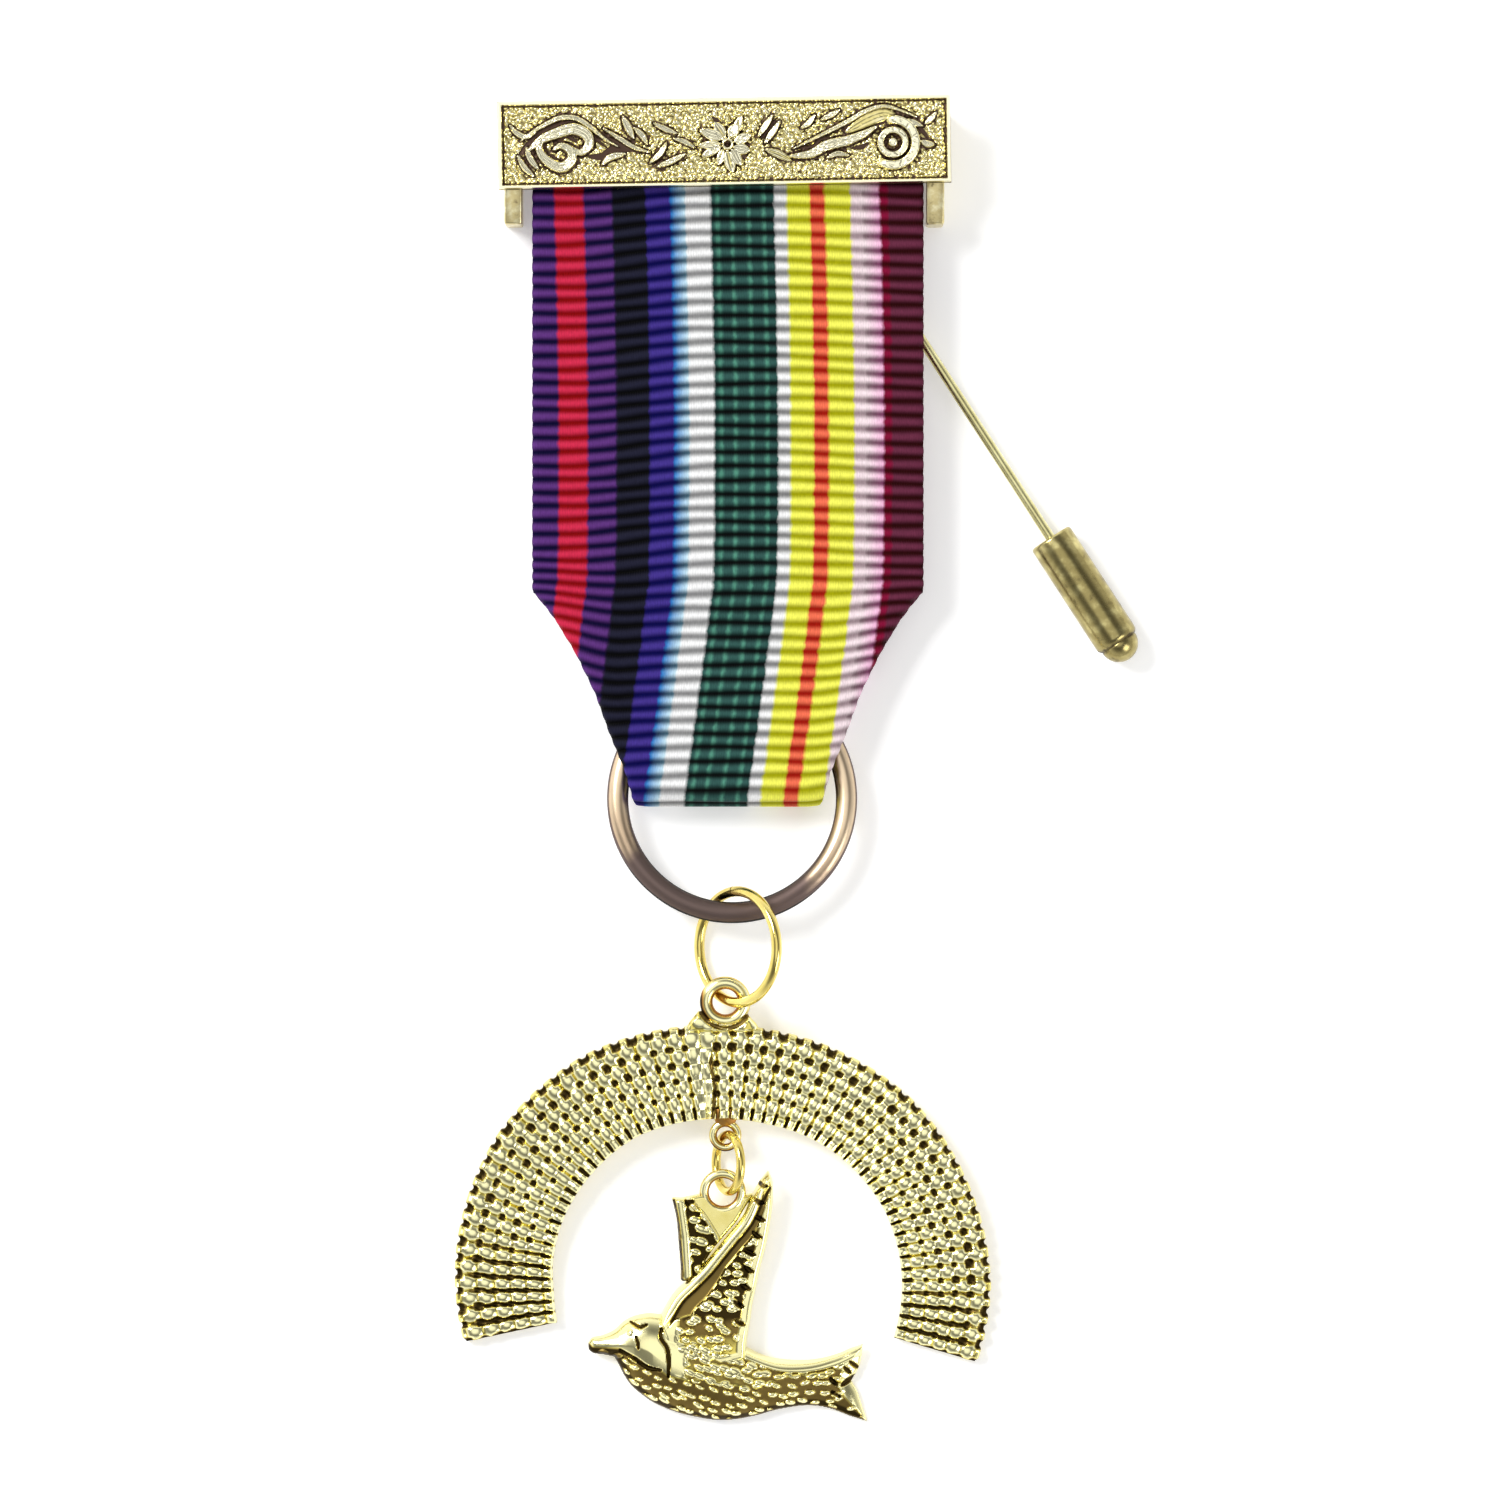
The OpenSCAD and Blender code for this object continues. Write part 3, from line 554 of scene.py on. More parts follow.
RIGHT_STROKES = [
    (0.8, 0.38, [(6.6, -0.8), (8.3, 0.0), (10.2, 0.9), (12.0, 1.8), (13.7, 2.75), (15.5, 3.2), (17.2, 2.7),
                 (18.6, 2.1)]),
    (1.0, 0.85, [(6.3, -1.5), (8.3, -1.3), (9.9, -0.5), (11.8, -0.1), (13.4, 0.5), (14.7, 1.2)]),
    (0.35, 1.1, [(11.9, 0.8), (13.7, 1.8), (15.5, 2.4), (17.0, 1.9)]),
    (0.95, 0.55, [(19.0, -0.2), (19.6, -0.5), (20.3, -0.6)]),
    (0.8, 0.45, [(17.8, 1.9), (18.5, 1.5), (19.2, 1.2)]),
    (0.8, 0.45, [(19.4, 1.4), (20.0, 1.9), (20.5, 2.5)]),
    (0.9, 0.5, [(3.3, 0.5), (4.0, 1.5), (4.7, 2.5)]),
    (0.9, 0.5, [(3.9, -0.2), (4.7, 0.9), (5.4, 1.9)]),
    (0.4, 0.6, [(4.0, -0.8), (5.3, -1.3), (6.4, -1.9)]),
    (0.7, 0.45, [(7.4, 1.2), (8.2, 1.7), (8.8, 2.5)]),
    (0.7, 0.45, [(9.4, 2.0), (10.3, 2.4), (11.2, 2.9)]),
    (0.6, 0.45, [(9.9, -1.7), (10.9, -1.3), (12.0, -1.5)]),
]
# Cuts beside them: width, points
CUTS = [
    (0.55, [(-20.2, -1.5), (-19.4, -0.3), (-18.3, 0.8), (-16.9, 1.6), (-15.4, 2.0), (-14.1, 2.0),
            (-13.0, 1.1), (-12.2, 0.3), (-11.3, -0.4)]),
    (0.9, [(-13.1, -1.2), (-11.9, -1.2), (-10.5, -0.5), (-8.6, -0.6)]),
    (0.4, [(-11.7, 0.9), (-10.0, -0.1), (-8.0, -1.0)]),
    (0.45, [(-16.4, 0.6), (-15.4, 0.0), (-14.9, -0.5)]),
    (0.4, [(-15.3, 0.9), (-14.2, 0.2)]),
    (0.4, [(-17.2, -0.9), (-16.1, -1.4)]),
    (0.35, [(6.8, -0.8), (8.6, -0.5), (9.4, 0.3), (11.3, 1.2)]),
    (0.7, [(12.4, 0.6), (13.6, 1.2), (15.0, 1.7), (16.6, 1.9)]),
    (0.5, [(12.3, -0.8), (13.3, -0.7), (14.0, -0.3)]),
    (0.45, [(18.6, 1.4), (19.3, 0.6), (19.8, -0.1)]),
    (0.35, [(3.6, 0.2), (4.3, 1.2), (5.1, 2.2)]),
    (0.4, [(-1.2, 2.5), (-0.1, 1.6)]),
    (0.4, [(1.6, 2.5), (0.7, 1.6)]),
]
SPIRAL_AT, FLOWER_AT = (16.3, -0.3), (0.3, -0.2)

# %% Strokes, flower and spiral
# Strokes are drawn bolder than listed, and their tops are flat from this share of their height on
bold, plump = 1.35, 0.82


def veined(x, y, points, width, blunt=0.25):
    """A stroke with a flat top and a vein along its middle, as an engraver's leaf has."""
    flat_top = smooth(0, plump, stroke(x, y, points, width, blunt))
    return flat_top * (1 - 0.2 * smooth(0, 0.8, stroke(x, y, points, 0.26 * width, 0.5)))


def flower_height(x, y, petals=11, inner=0.75, outer=2.75):
    """Crowded petals of uneven length round a hollow boss."""
    rng = np.random.default_rng(9)
    height = np.zeros(x.shape)
    for i in range(petals):
        turn = 2 * math.pi * (i + rng.uniform(0, 0.5)) / petals
        reach = outer * rng.uniform(0.72, 1.12)
        bend = turn + rng.uniform(-0.2, 0.3)
        foot = (inner * math.cos(turn), inner * math.sin(turn))
        tip = (reach * math.cos(bend), reach * math.sin(bend))
        tall, wide = rng.uniform(0.6, 1.0), rng.uniform(0.85, 1.3)
        petal = veined(x, y, [foot, tuple(np.mean([foot, tip], 0)), tip], wide, 0.3)
        height = np.maximum(height, tall * petal)
    return np.maximum(height, 0.9 * np.clip(1 - ((np.hypot(x, y) - 0.45) / 0.22) ** 2, 0, 1))


def spiral_height(x, y):
    """A small boss inside two rings, of which the outer one is open to the left."""
    away = np.hypot(x, y)
    boss, ring, outer = (round_top(away - radius, reach)
                         for radius, reach in ((0, 0.5), (1.2, 0.36), (2.2, 0.5)))
    outer = outer * smooth(2.3, 1.5, np.abs(np.arctan2(y, x) + 0.2))
    return smooth(0, plump, np.maximum.reduce([boss, ring, outer]))


# %% The bar's face as a height field
bar_low, bar_high = box_mm("bar")
bar_half_h = 4.25
# Heights over the table of the plate's back and of its ground
plate_z, ground_z = 6.03, 7.03
# Width and height of the rim, depth of the relief and of the matting, and the face's turn in degrees
rim_w, rim_t, relief_t, matting_t, face_turn = 0.4, 0.42, 0.56, 0.24, 0.95
x, y = np.meshgrid(np.linspace(bar_low[0], bar_high[0], 640), np.linspace(-bar_half_h, bar_half_h, 126))
height = matting_t * lumps(x, y, (0.46, 0.40), seed=4, stretch=1.15) - 0.06
# The hem is the narrow dark line that a stroke has on both sides
carved, hem, cut = (np.zeros(x.shape) for _ in range(3))
for share, width, points in LEFT_STROKES + RIGHT_STROKES:
    carved = np.maximum(carved, share * veined(x, y, points, bold * width))
    hem = np.maximum(hem, smooth(0, 0.6, stroke(x, y, points, bold * width + 0.3, 0.5)))
for shape, at in ((spiral_height, SPIRAL_AT), (flower_height, FLOWER_AT)):
    carved = np.maximum(carved, shape(x - at[0], y - at[1]))
for width, points in CUTS:
    cut = np.maximum(cut, stroke(x, y, points, width))
bare = carved < 0.2
worn = relief_t * carved * (0.95 + 0.09 * lumps(x, y, (0.7, 0.45), seed=12))
height = np.maximum(height * (1 - cut) - matting_t * cut * bare, worn)
edge = np.minimum(bar_high[0] - np.abs(x), bar_half_h - np.abs(y))
rim = smooth(0, 0.12, edge) * smooth(rim_w + 0.1, rim_w - 0.05, edge)
inside = smooth(rim_w - 0.05, rim_w + 0.25, edge)
height = np.maximum(height * inside - 0.1 * smooth(rim_w + 0.3, rim_w, edge), rim_t * rim)
height = height - 0.12 * smooth(0.1, 0, edge)
deep = recess(height, 4, 0.42) + 0.4 * cut * bare + 0.45 * hem * (carved < 0.15) - 0.3 * rim
deep = deep - 0.45 * smooth(0.4, 0.8, carved)
points, faces, border = slab(x, y, ground_z + height, plate_z)
make_piece("bar_face", placed(points, (0, 0, face_turn)), faces, "jewel", ["bar"], bar_gilt,
           {"recess": slab_marks(deep, 1, border, 0.55)})

# %% [markdown]
# ## The bracket behind the bar
# Behind the face two cheeks, a strip for the ribbon and a back plate are soldered on, and a rivet
# holds the pin. They are plain sheet metal, so each is a block with its edges broken by a narrow
# bevel, as a file would leave it.

# %% Bracket
def block(low, high, bevel=0.12):
    """A block between two corners with its edges broken."""
    low, high = np.array(low, float), np.array(high, float)
    mesh = bpy.data.meshes.new("block")
    shape = bmesh.new()
    bmesh.ops.create_cube(shape, size=1)
    for vertex in shape.verts:
        vertex.co = Vector((low + high) / 2 + np.array(vertex.co) * (high - low))
    bmesh.ops.bevel(shape, geom=shape.edges[:], offset=bevel, segments=2, affect="EDGES", profile=0.5)
    shape.to_mesh(mesh)
    shape.free()
    points = [tuple(vertex.co) for vertex in mesh.vertices]
    faces = [list(face.vertices) for face in mesh.polygons]
    bpy.data.meshes.remove(mesh)
    return points, faces


# Cheeks, back plate, strip and rivet
edge_step, cheek_w, bracket_x = 0.6, 1.7, 21.3
back_t, back_h = 0.9, 6.0
strip_low, strip_h, strip_z, strip_t = -1.8, 3.2, 3.93, 0.8
rivet_at, rivet_r, head_r, pin_top = (6.9, 0.0), 0.75, 1.25, 2.01
cheek_low, cheek_high = bar_low[1] + 0.45, bar_high[1] - edge_step
between_x, head_z = bracket_x - 0.1, pin_top + 0.15
parts = [block((low_x, cheek_low, 0), (high_x, cheek_high, plate_z + 0.02), bevel=0.2)
         for low_x, high_x in ((-bracket_x, cheek_w - bracket_x), (bracket_x - cheek_w, bracket_x))]
parts.append(block((-between_x, cheek_high - back_h, 0.01), (between_x, cheek_high - 0.01, back_t)))
parts.append(block((-between_x, strip_low, strip_z), (between_x, strip_low + strip_h, strip_z + strip_t)))
points, faces = turned([(rivet_r, back_t - 0.1), (rivet_r, head_z), (head_r, head_z),
                        (head_r, pin_top + 0.3), (0.8 * head_r, pin_top + 0.48)], 40)
parts.append((placed(points, at=(*rivet_at, 0)), faces))
points, faces = joined(*parts)
make_piece("bar_bracket", points, faces, "jewel", ["bar"], bracket_gilt)

# %% [markdown]
# ## The ribbon
# Jewel ribbon is ribbed silk: fine warp threads run along it, over thick weft threads that make the
# ribs. It is one loop. It bends round the strip behind the bar, runs down the front, is folded
# narrow at its lower corners, goes through the bronze ring and comes back up behind. A cloth
# simulation would not keep the ribs in step, so the loop is a path that the cloth's points follow,
# and each rib is raised on it. The ribs rise a little to the middle, as they do in the photograph.

# %% The ribbon's path, seen from its edge
ribbon_low, ribbon_high = box_mm("ribbon")
# Width and middle of the flat cloth, width at the fold, and where the sides begin to draw in
ribbon_w, ribbon_x, fold_w, straight_y = 38.0, 0.34, 18.76, -43.4
fold_y, low_z = ribbon_low[1], ribbon_low[2]
taper_l = straight_y - fold_y
# Radius of the fold's corners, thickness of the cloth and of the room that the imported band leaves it
corner_r, cloth_t, room_t = 1.2, 0.86, 1.0
# The bend round the strip at the top, and the nose round the bronze ring
wrap_top = 1.4
wrap_r = ribbon_high[1] - wrap_top
wrap_z = ribbon_high[2] - wrap_r
nose_l, nose_top = 2.0, 5.52
back_z = wrap_z - wrap_r
# Way of the back strand down to the table: place along the ribbon, share of its height
DIP = [(-33, 1.0), (-37, 1.0), (-40.2, 0.89), (-46.1, 0.07), (-50, 0), (-56, 0)]
rib_pitch, steps_per_rib = 1.335, 10
middle = room_t / 2
arc = np.radians(np.arange(0, 181, 15))
nose_mid, nose_tall = (nose_top + low_z) / 2, (nose_top - low_z) / 2 - middle
wrap = np.stack([wrap_top + (wrap_r - middle) * np.sin(arc), wrap_z + (wrap_r - middle) * np.cos(arc)], -1)
nose = np.stack([fold_y + nose_l - (nose_l - middle) * np.sin(arc), nose_mid - nose_tall * np.cos(arc)], -1)
slope = curve([(along, low_z + middle + share * (back_z - low_z)) for along, share in DIP], 6)
path = np.vstack([wrap, slope, nose, wrap[:1]])
lengths = np.concatenate([[0], np.cumsum(np.hypot(*np.diff(path, axis=0).T))])
ribbon_l = lengths[-1]
rib_count = round(ribbon_l / rib_pitch)
steps = steps_per_rib * rib_count
s = np.arange(steps) / steps * ribbon_l
path_y, path_z = np.interp(s, lengths, path[:, 0]), np.interp(s, lengths, path[:, 1])
print(f"ribbon {ribbon_l:.1f} mm long, {rib_count} ribs")

# %% The ribbon's cloth
# Narrowing towards the fold: share of the way, share of the width that is still to go
TAPER = [(0, 1), (0.04, 0.92), (0.13, 0.78), (0.31, 0.56), (0.5, 0.37), (0.69, 0.23), (0.88, 0.07), (1, 0)]
# How far the stripes lean at the fold, and how far they sway in the middle and at the top
stripe_lean, middle_sway, top_sway = -2.8, 0.3, 0.42
rib_deep = 0.30
outer_columns, inner_columns = 62, 20


def half_width(along):
    """Half of the ribbon's width at a place along it."""
    share = np.clip((straight_y - along) / (taper_l - corner_r), 0, 1)
    half = fold_w / 2 + (ribbon_w - fold_w) / 2 * np.interp(share, *zip(*TAPER))
    into = np.clip((fold_y + corner_r - along) / corner_r, 0, 1)
    return half - corner_r * (1 - np.sqrt(1 - into ** 2))


def on_cloth(share, along):
    """Place across the flat cloth, from 0 at its left edge to 1, of a share of the width seen."""
    lean = stripe_lean * np.clip((straight_y + 1 - along) / taper_l, 0, 1) ** 1.1
    sway = middle_sway * np.sin(np.pi * np.clip(-along / 45, 0, 1))
    sway = sway - top_sway * (1 - np.clip(-along / 38, 0, 1))
    return ((2 * share - 1) * half_width(along) - lean - sway) / ribbon_w + 0.5


def rib_rise(across, along, front):
    """How far a rib is pushed up the ribbon at a place across it. The fold tugs its ends up too."""
    rise = 1.25 * smooth(0.08, 0.46, across) - 0.45 * smooth(0.6, 1.0, across)
    tug = smooth(-38, -50, along)
    ends = 2.4 * smooth(0.26, 0.0, across) + 1.5 * smooth(0.75, 1.0, across)
    return (rise * (1 - 0.5 * tug) + tug * ends) * front


front = smooth(nose_mid - 1, nose_mid + 2.4, path_z) * smooth(2.8, 0.5, path_y)
middle_line = np.stack([path_y, path_z], -1)
tangent = np.roll(middle_line, -1, 0) - np.roll(middle_line, 1, 0)
tangent /= np.linalg.norm(tangent, axis=1, keepdims=True)
outward = np.stack([tangent[:, 1], -tangent[:, 0]], -1)
outward *= np.sign(outward[0, 1])

# Points across the outer face lie closer together near its edges. The inner face needs fewer.
outer_share = (1 - np.cos(np.linspace(0.12, np.pi - 0.12, outer_columns))) / 2
outer_share = 0.35 * outer_share + 0.65 * np.linspace(0, 1, outer_columns)
outer_share = (outer_share - outer_share[0]) / np.ptp(outer_share)
share = np.concatenate([outer_share, np.linspace(1, 0, inner_columns)])
face = np.concatenate([np.ones(outer_columns), -np.ones(inner_columns)])
S, SHARE = np.meshgrid(s, share, indexing="ij")
ALONG, LEVEL, FRONT = (np.repeat(line[:, None], len(share), 1) for line in (path_y, path_z, front))
FACE = np.repeat(face[None], steps, 0)
ACROSS = on_cloth(SHARE, ALONG)
# Ribs, each a little uneven
phase = (S - rib_rise(ACROSS, ALONG, FRONT)) * rib_count / ribbon_l
wander = 0.05 * np.sin(7 * ACROSS + 0.9 * np.floor(phase)) + 0.03 * np.sin(23 * ACROSS + 2.1 * S)
crown = np.abs(np.cos(np.pi * (phase + wander)))
rib = 1 - (1 - crown) ** 1.35
# Where the valleys' painted shade lies, between the crowns of the ribs
valley = 1 - crown ** 2.1
# Rounded edges, and the folded lower corners, which are pressed in a little
near_edge = np.minimum(SHARE, 1 - SHARE) * 2 * half_width(ALONG)
rounding = np.sqrt(np.clip(1 - (1 - np.clip(near_edge / 0.5, 0, 1)) ** 2, 0, 1))
away = FACE * (cloth_t / 2 - rib_deep * (1 - rib)) * (0.45 + 0.55 * rounding)
folded = smooth(-42, -44.5, ALONG) * smooth(1.6, 0, near_edge)
roll = -0.38 * folded * (1 - rounding * 0.5)
half = half_width(ALONG) + 0.10 * (crown - 0.6) - 0.06
X = ribbon_x + (2 * SHARE - 1) * half
Y = ALONG + outward[:, :1] * (away + roll * 0.6)
Z = LEVEL + outward[:, 1:] * (away + roll)
points = np.stack([X, Y, Z], -1).reshape(-1, 3)
faces = grid_faces(steps, len(share), True, True)
print(f"cloth between {points.min(0).round(2)} and {points.max(0).round(2)} mm")

# %% [markdown]
# ## The ribbon's colours
# The stripes are warp threads of different silks, so a stripe is a place across the cloth and keeps
# it through the fold. Each stripe has one dye, as it looks on the crown of a rib with its sheen
# painted in. In the valley the same dye is painted darker and purer as shade: its valley colour is that
# dye with the same amount taken off its red, green and blue. Two ramps read across the cloth give crown
# and valley, and a third gives the brighter columns in the green.

# %% Dyes and stripes
# Dyes as they look on a screen on the crown of a rib, with its sheen painted in
PURPLE, RED, COAL, INDIGO = (100, 60, 130), (215, 55, 85), (45, 45, 60), (75, 60, 145)
SKY, ICE, SNOW = (50, 130, 205), (205, 235, 250), (255, 255, 255)
GREEN, MINT = (60, 95, 90), (100, 170, 145)
YELLOW, ORANGE, BLUSH, PINK = (255, 255, 105), (250, 120, 90), (255, 235, 240), (255, 195, 230)
CRIMSON, MAROON = (140, 35, 65), (110, 54, 75)
# Stripes: where each ends across the ribbon, how much darker its valleys are painted as shade, its
# dye there, and a second dye where it shades into another
STRIPES = [(0.063, 75, PURPLE), (0.137, 75, RED), (0.210, 75, PURPLE), (0.296, 35, COAL),
           (0.358, 65, INDIGO), (0.397, 130, SKY, ICE), (0.461, 110, SNOW), (0.624, 70, GREEN),
           (0.656, 120, SNOW), (0.716, 85, YELLOW), (0.754, 85, ORANGE), (0.819, 85, YELLOW),
           (0.851, 90, BLUSH), (0.894, 130, BLUSH, PINK), (0.915, 75, CRIMSON), (1.0, 57, MAROON)]
# Brighter columns in the green, their half width, and half of the soft step between two stripes
GREEN_COLUMNS, column_w, thread_edge = (0.479, 0.516, 0.558, 0.597), 0.0085, 0.0025
# What the lamps and the sheen do to a colour, how far a stripe's edge strays, and a thread's width
lamp_gain, sheen_gain, stray, thread_w = 1.15, 0.012, 0.012, 0.24


def dyed(red, green, blue):
    """The cloth's own colour for a colour on the screen: the lamps brighten it and sheen is added."""
    return (*(max(0.0, (value - sheen_gain) / lamp_gain) for value in linear(red, green, blue)[:3]), 1.0)


def ramp_of(tree, value, stops):
    """A colour ramp with (place, colour) stops."""
    node = add(tree, "ShaderNodeValToRGB", None, {"Fac": value})
    elements = node.color_ramp.elements
    while len(elements) < len(stops):
        elements.new(0.5)
    for element, (at, colour) in zip(elements, stops):
        element.position = at
        element.color = colour
    return node.outputs["Color"]


def stripe_stops(in_valley):
    """Ramp stops of the crowns, or of the valleys, where every dye is painted darker as shade."""
    stops, begin = [], 0.0
    for end, drop, *dyes in STRIPES:
        first, last = [[max(0, value - drop * in_valley) for value in dye] for dye in (dyes[0], dyes[-1])]
        stops += [(begin + thread_edge, dyed(*first)), (end - thread_edge, dyed(*last))]
        begin = end
    return stops


# %% Silk material
def silk_material():
    """Striped silk: the dyes across the cloth, mixed by the marks of crown and valley."""
    material, tree, shader = new_material("striped silk")
    across, in_valley = (add(tree, "ShaderNodeAttribute", {"attribute_name": mark}).outputs["Fac"]
                         for mark in ("across", "valley"))
    place = add(tree, "ShaderNodeTexCoord").outputs["Object"]
    ragged = maths(tree, "MULTIPLY", maths(tree, "SUBTRACT", noise(tree, place, 0.7), 0.5), stray)
    thread_at = maths(tree, "ADD", across, ragged)
    column_stops = [(0.0, BLACK)]
    for column in GREEN_COLUMNS:
        column_stops += [(column - column_w, BLACK), (column, (1, 1, 1, 1)), (column + column_w, BLACK)]
    in_column = maths(tree, "MULTIPLY", ramp_of(tree, thread_at, column_stops), 0.8)
    crowns = mixed(tree, in_column, ramp_of(tree, thread_at, stripe_stops(False)), dyed(*MINT))
    silk = add(tree, "ShaderNodeGroup", {"node_tree": silk_group},
               {"Crown Color": crowns, "Valley Shade Color": ramp_of(tree, thread_at, stripe_stops(True)),
                "Valley": in_valley, "Thread": thread_w,
                "Across": maths(tree, "MULTIPLY", across, ribbon_w)})
    dress(tree, shader, silk, 0.35, 0.05)
    shader.inputs["Sheen Weight"].default_value = 0.03
    shader.inputs["Sheen Roughness"].default_value = 0.4
    shader.inputs["Specular IOR Level"].default_value = 0.05
    return material


ribbon = make_piece("ribbon_band", points, faces, "jewel", ["ribbon"], silk_material(),
                    {"across": ACROSS, "valley": valley}, sharp=120)

# %% [markdown]
# ## Rings
# The big ring is bronze wire with its ends soldered, so it is a plain torus. Shade is painted at its
# foot and along the sides of its wire, so its points carry marks, as those of the castings do. The two
# small rings are cut from a coil of gilt wire and squeezed shut, which leaves a fine cut. Each ring
# stands slanted in the loops that it links, as the imported model has it.

# %% Rings
ring_wire, jump_wire, link_wire = 2.07, 1.02, 0.9
# Marks of the bronze ring: a level all over, painted shade round one angle at its foot, and more painted
# shade along the sides of its wire
shine, foot_shade, side_shade = 0.34, 0.5, 0.55


def ring_piece(name, node, radius, wire, turn, shift, material, gap=0.0, cut_at=0.0, shaded_at=None):
    """A wire ring turned and set in the middle of its node's box, or a little beside it. Its marks
    are painted shade, high round one angle and along the sides of its wire."""
    low, high = box_mm(node)
    points, faces = torus(radius, wire, 200, 32, gap)
    marks = {}
    if shaded_at is not None:
        off = np.arctan2(points[:, 1], points[:, 0]) - np.radians(shaded_at)
        edge = np.abs(np.hypot(points[:, 0], points[:, 1]) - radius) * 2 / wire
        marks["recess"] = (shine + foot_shade * smooth(0.1, 0.95, np.cos(off))
                           + side_shade * smooth(0.74, 0.95, edge))
    points = placed(points, (0, 0, cut_at))
    points = placed(points, turn, (low + high) / 2 + np.array(shift))
    return make_piece(name, points, faces, "jewel", [node], material, marks)


ring_low, ring_high = box_mm("suspension_ring")
ring_r = (ring_high[0] - ring_low[0] - ring_wire) / 2
ring_lean = -math.degrees(math.asin((ring_high[2] - ring_low[2] - ring_wire) / ring_r / 2))
ring_piece("suspension_ring_wire", "suspension_ring", ring_r, ring_wire, (ring_lean, 0, 0), (0, 0, 0),
           bronze_wire, shaded_at=262)
ring_piece("jump_ring_wire", "jump_ring", 5.4, jump_wire, (0, -46, 0), (-0.14, 0.29, 0), gilt_wire,
           gap=1.2, cut_at=96)
ring_piece("dove_ring_wire", "dove_ring", 2.75, link_wire, (0, -64, 0), (0, -0.2, -0.2), gilt_wire,
           gap=1.6, cut_at=60)

# %% [markdown]
# ## The rainbow arch
# The arch is cast in one piece. Its face is a lattice of studs that run into each other, with a deep
# pit at each corner where four of them meet, and a loop at the crown. An array of small spheres
# would need thousands of joins. A height over the angle and the radius gives the same surface as one
# mesh. Each stud and each pit gets its own slight size and place from a seeded table, because a worn
# mould is never regular. At the ends of the arch the pits run together into slits.

# %% Arch outline
arch_at, arch_tilt = np.array([-0.17, -111.0, 0.642]), 4.6
arch_t, stud_t = 0.9, 0.62
# Angle, inner radius, outer radius
ARCH_EDGE = [(-16.5, 17.4, 25.8), (0, 17.45, 26.1), (25, 17.45, 25.95), (45, 17.15, 26.0),
             (60, 16.9, 25.75), (75, 16.55, 25.6), (90, 16.45, 25.55), (105, 16.65, 25.9),
             (120, 16.95, 26.35), (145, 16.9, 26.5), (160, 16.85, 26.35), (172, 16.7, 26.2),
             (182, 16.45, 26.0), (192, 16.5, 25.75)]
first_angle, last_angle = ARCH_EDGE[-1][0], ARCH_EDGE[0][0]
# Rows of pits, as shares of the way from the inner edge to the outer one
PIT_ROWS = np.array([0.105, 0.274, 0.437, 0.600, 0.774, 0.953])
pit_pitch, stud_columns = 0.17, 56
samples_along, samples_across = 14, 9


def arch_grid():
    """Column number and share of the way out at each point."""
    column = np.linspace(0, stud_columns, stud_columns * samples_along + 1)
    rows = [np.linspace(a, b, samples_across, endpoint=False) for a, b in zip(PIT_ROWS[:-1], PIT_ROWS[1:])]
    inner, outer = [0, 0.008, 0.02, 0.038, 0.055, 0.08], [PIT_ROWS[-1], 0.966, 0.98, 0.992, 1.0]
    return np.meshgrid(column, np.concatenate([inner] + rows + [outer]))


# %% Studs and pits
column, share = arch_grid()
angle = first_angle + column * (last_angle - first_angle) / stud_columns
upper = (angle > 0) & (angle < 180)
angles, inner_r, outer_r = np.array(ARCH_EDGE).T
radius_in, radius_out = np.interp(angle, angles, inner_r), np.interp(angle, angles, outer_r)
radius = radius_in + share * (radius_out - radius_in)
x = radius * np.cos(np.radians(angle))
rng = np.random.default_rng(21)
table = (len(PIT_ROWS) + 1, stud_columns + 1)
stud_size, pit_wide, pit_tall = (rng.uniform(low, 1.12, table) for low in (0.86, 0.6, 0.6))
push_u, push_v = rng.uniform(-0.1, 0.1, (2, *table))
# A dome over each cell, with u along the arch and v across it
row = np.searchsorted(PIT_ROWS, share, side="right")
edges = np.concatenate([[PIT_ROWS[0] - pit_pitch], PIT_ROWS, [PIT_ROWS[-1] + pit_pitch]])
number = np.clip(column.astype(int), 0, stud_columns - 1)
u = (column - number) * 2 - 1 + push_u[row, number]
v = (share - edges[row]) / (edges[row + 1] - edges[row]) * 2 - 1 + push_v[row, number]
dome = stud_size[row, number] - 0.44 * np.abs(u) ** 2.3 - 0.34 * np.abs(v) ** 2.3
# A pit where four domes meet. It is wider farther out, and open where it reaches an edge
near_row = np.abs(share[..., None] - PIT_ROWS).argmin(-1)
near_column = np.round(column).astype(int)
du = (column - near_column) * 2 + 1.2 * push_v[near_row, near_column]
dv = (share - PIT_ROWS[near_row]) * 2 / pit_pitch + 0.8 * push_u[near_row, near_column]
open_edge = ((near_row == 0) & (dv < 0)) | ((near_row == len(PIT_ROWS) - 1) & (dv > 0))
dv = np.where(open_edge, 0, np.abs(dv))
end = np.maximum(smooth(163, 176, angle), smooth(4, -6, angle))
flare, pit_wall = 0.50 + 0.62 * share, (0.66, 0.30)
pit_du = du + 0.35 * dv * np.sign(angle - 90) * (1 - end)
pit = smooth(*pit_wall, np.abs(pit_du) / pit_wide[near_row, near_column] / flare)
pit = pit * smooth(*pit_wall, dv / pit_tall[near_row, near_column] / flare)
# At the ends of the arch the pits run together into slits
zigzag = 0.10 * np.sin(2 * np.pi * share / pit_pitch + column) + 0.5 * push_u[row, number]
slit = end * smooth(0.34, 0.12, np.abs(du + zigzag)) * smooth(0.95, 0.72, share) * smooth(0.02, 0.07, share)
pit = np.maximum(pit, 0.75 * slit)
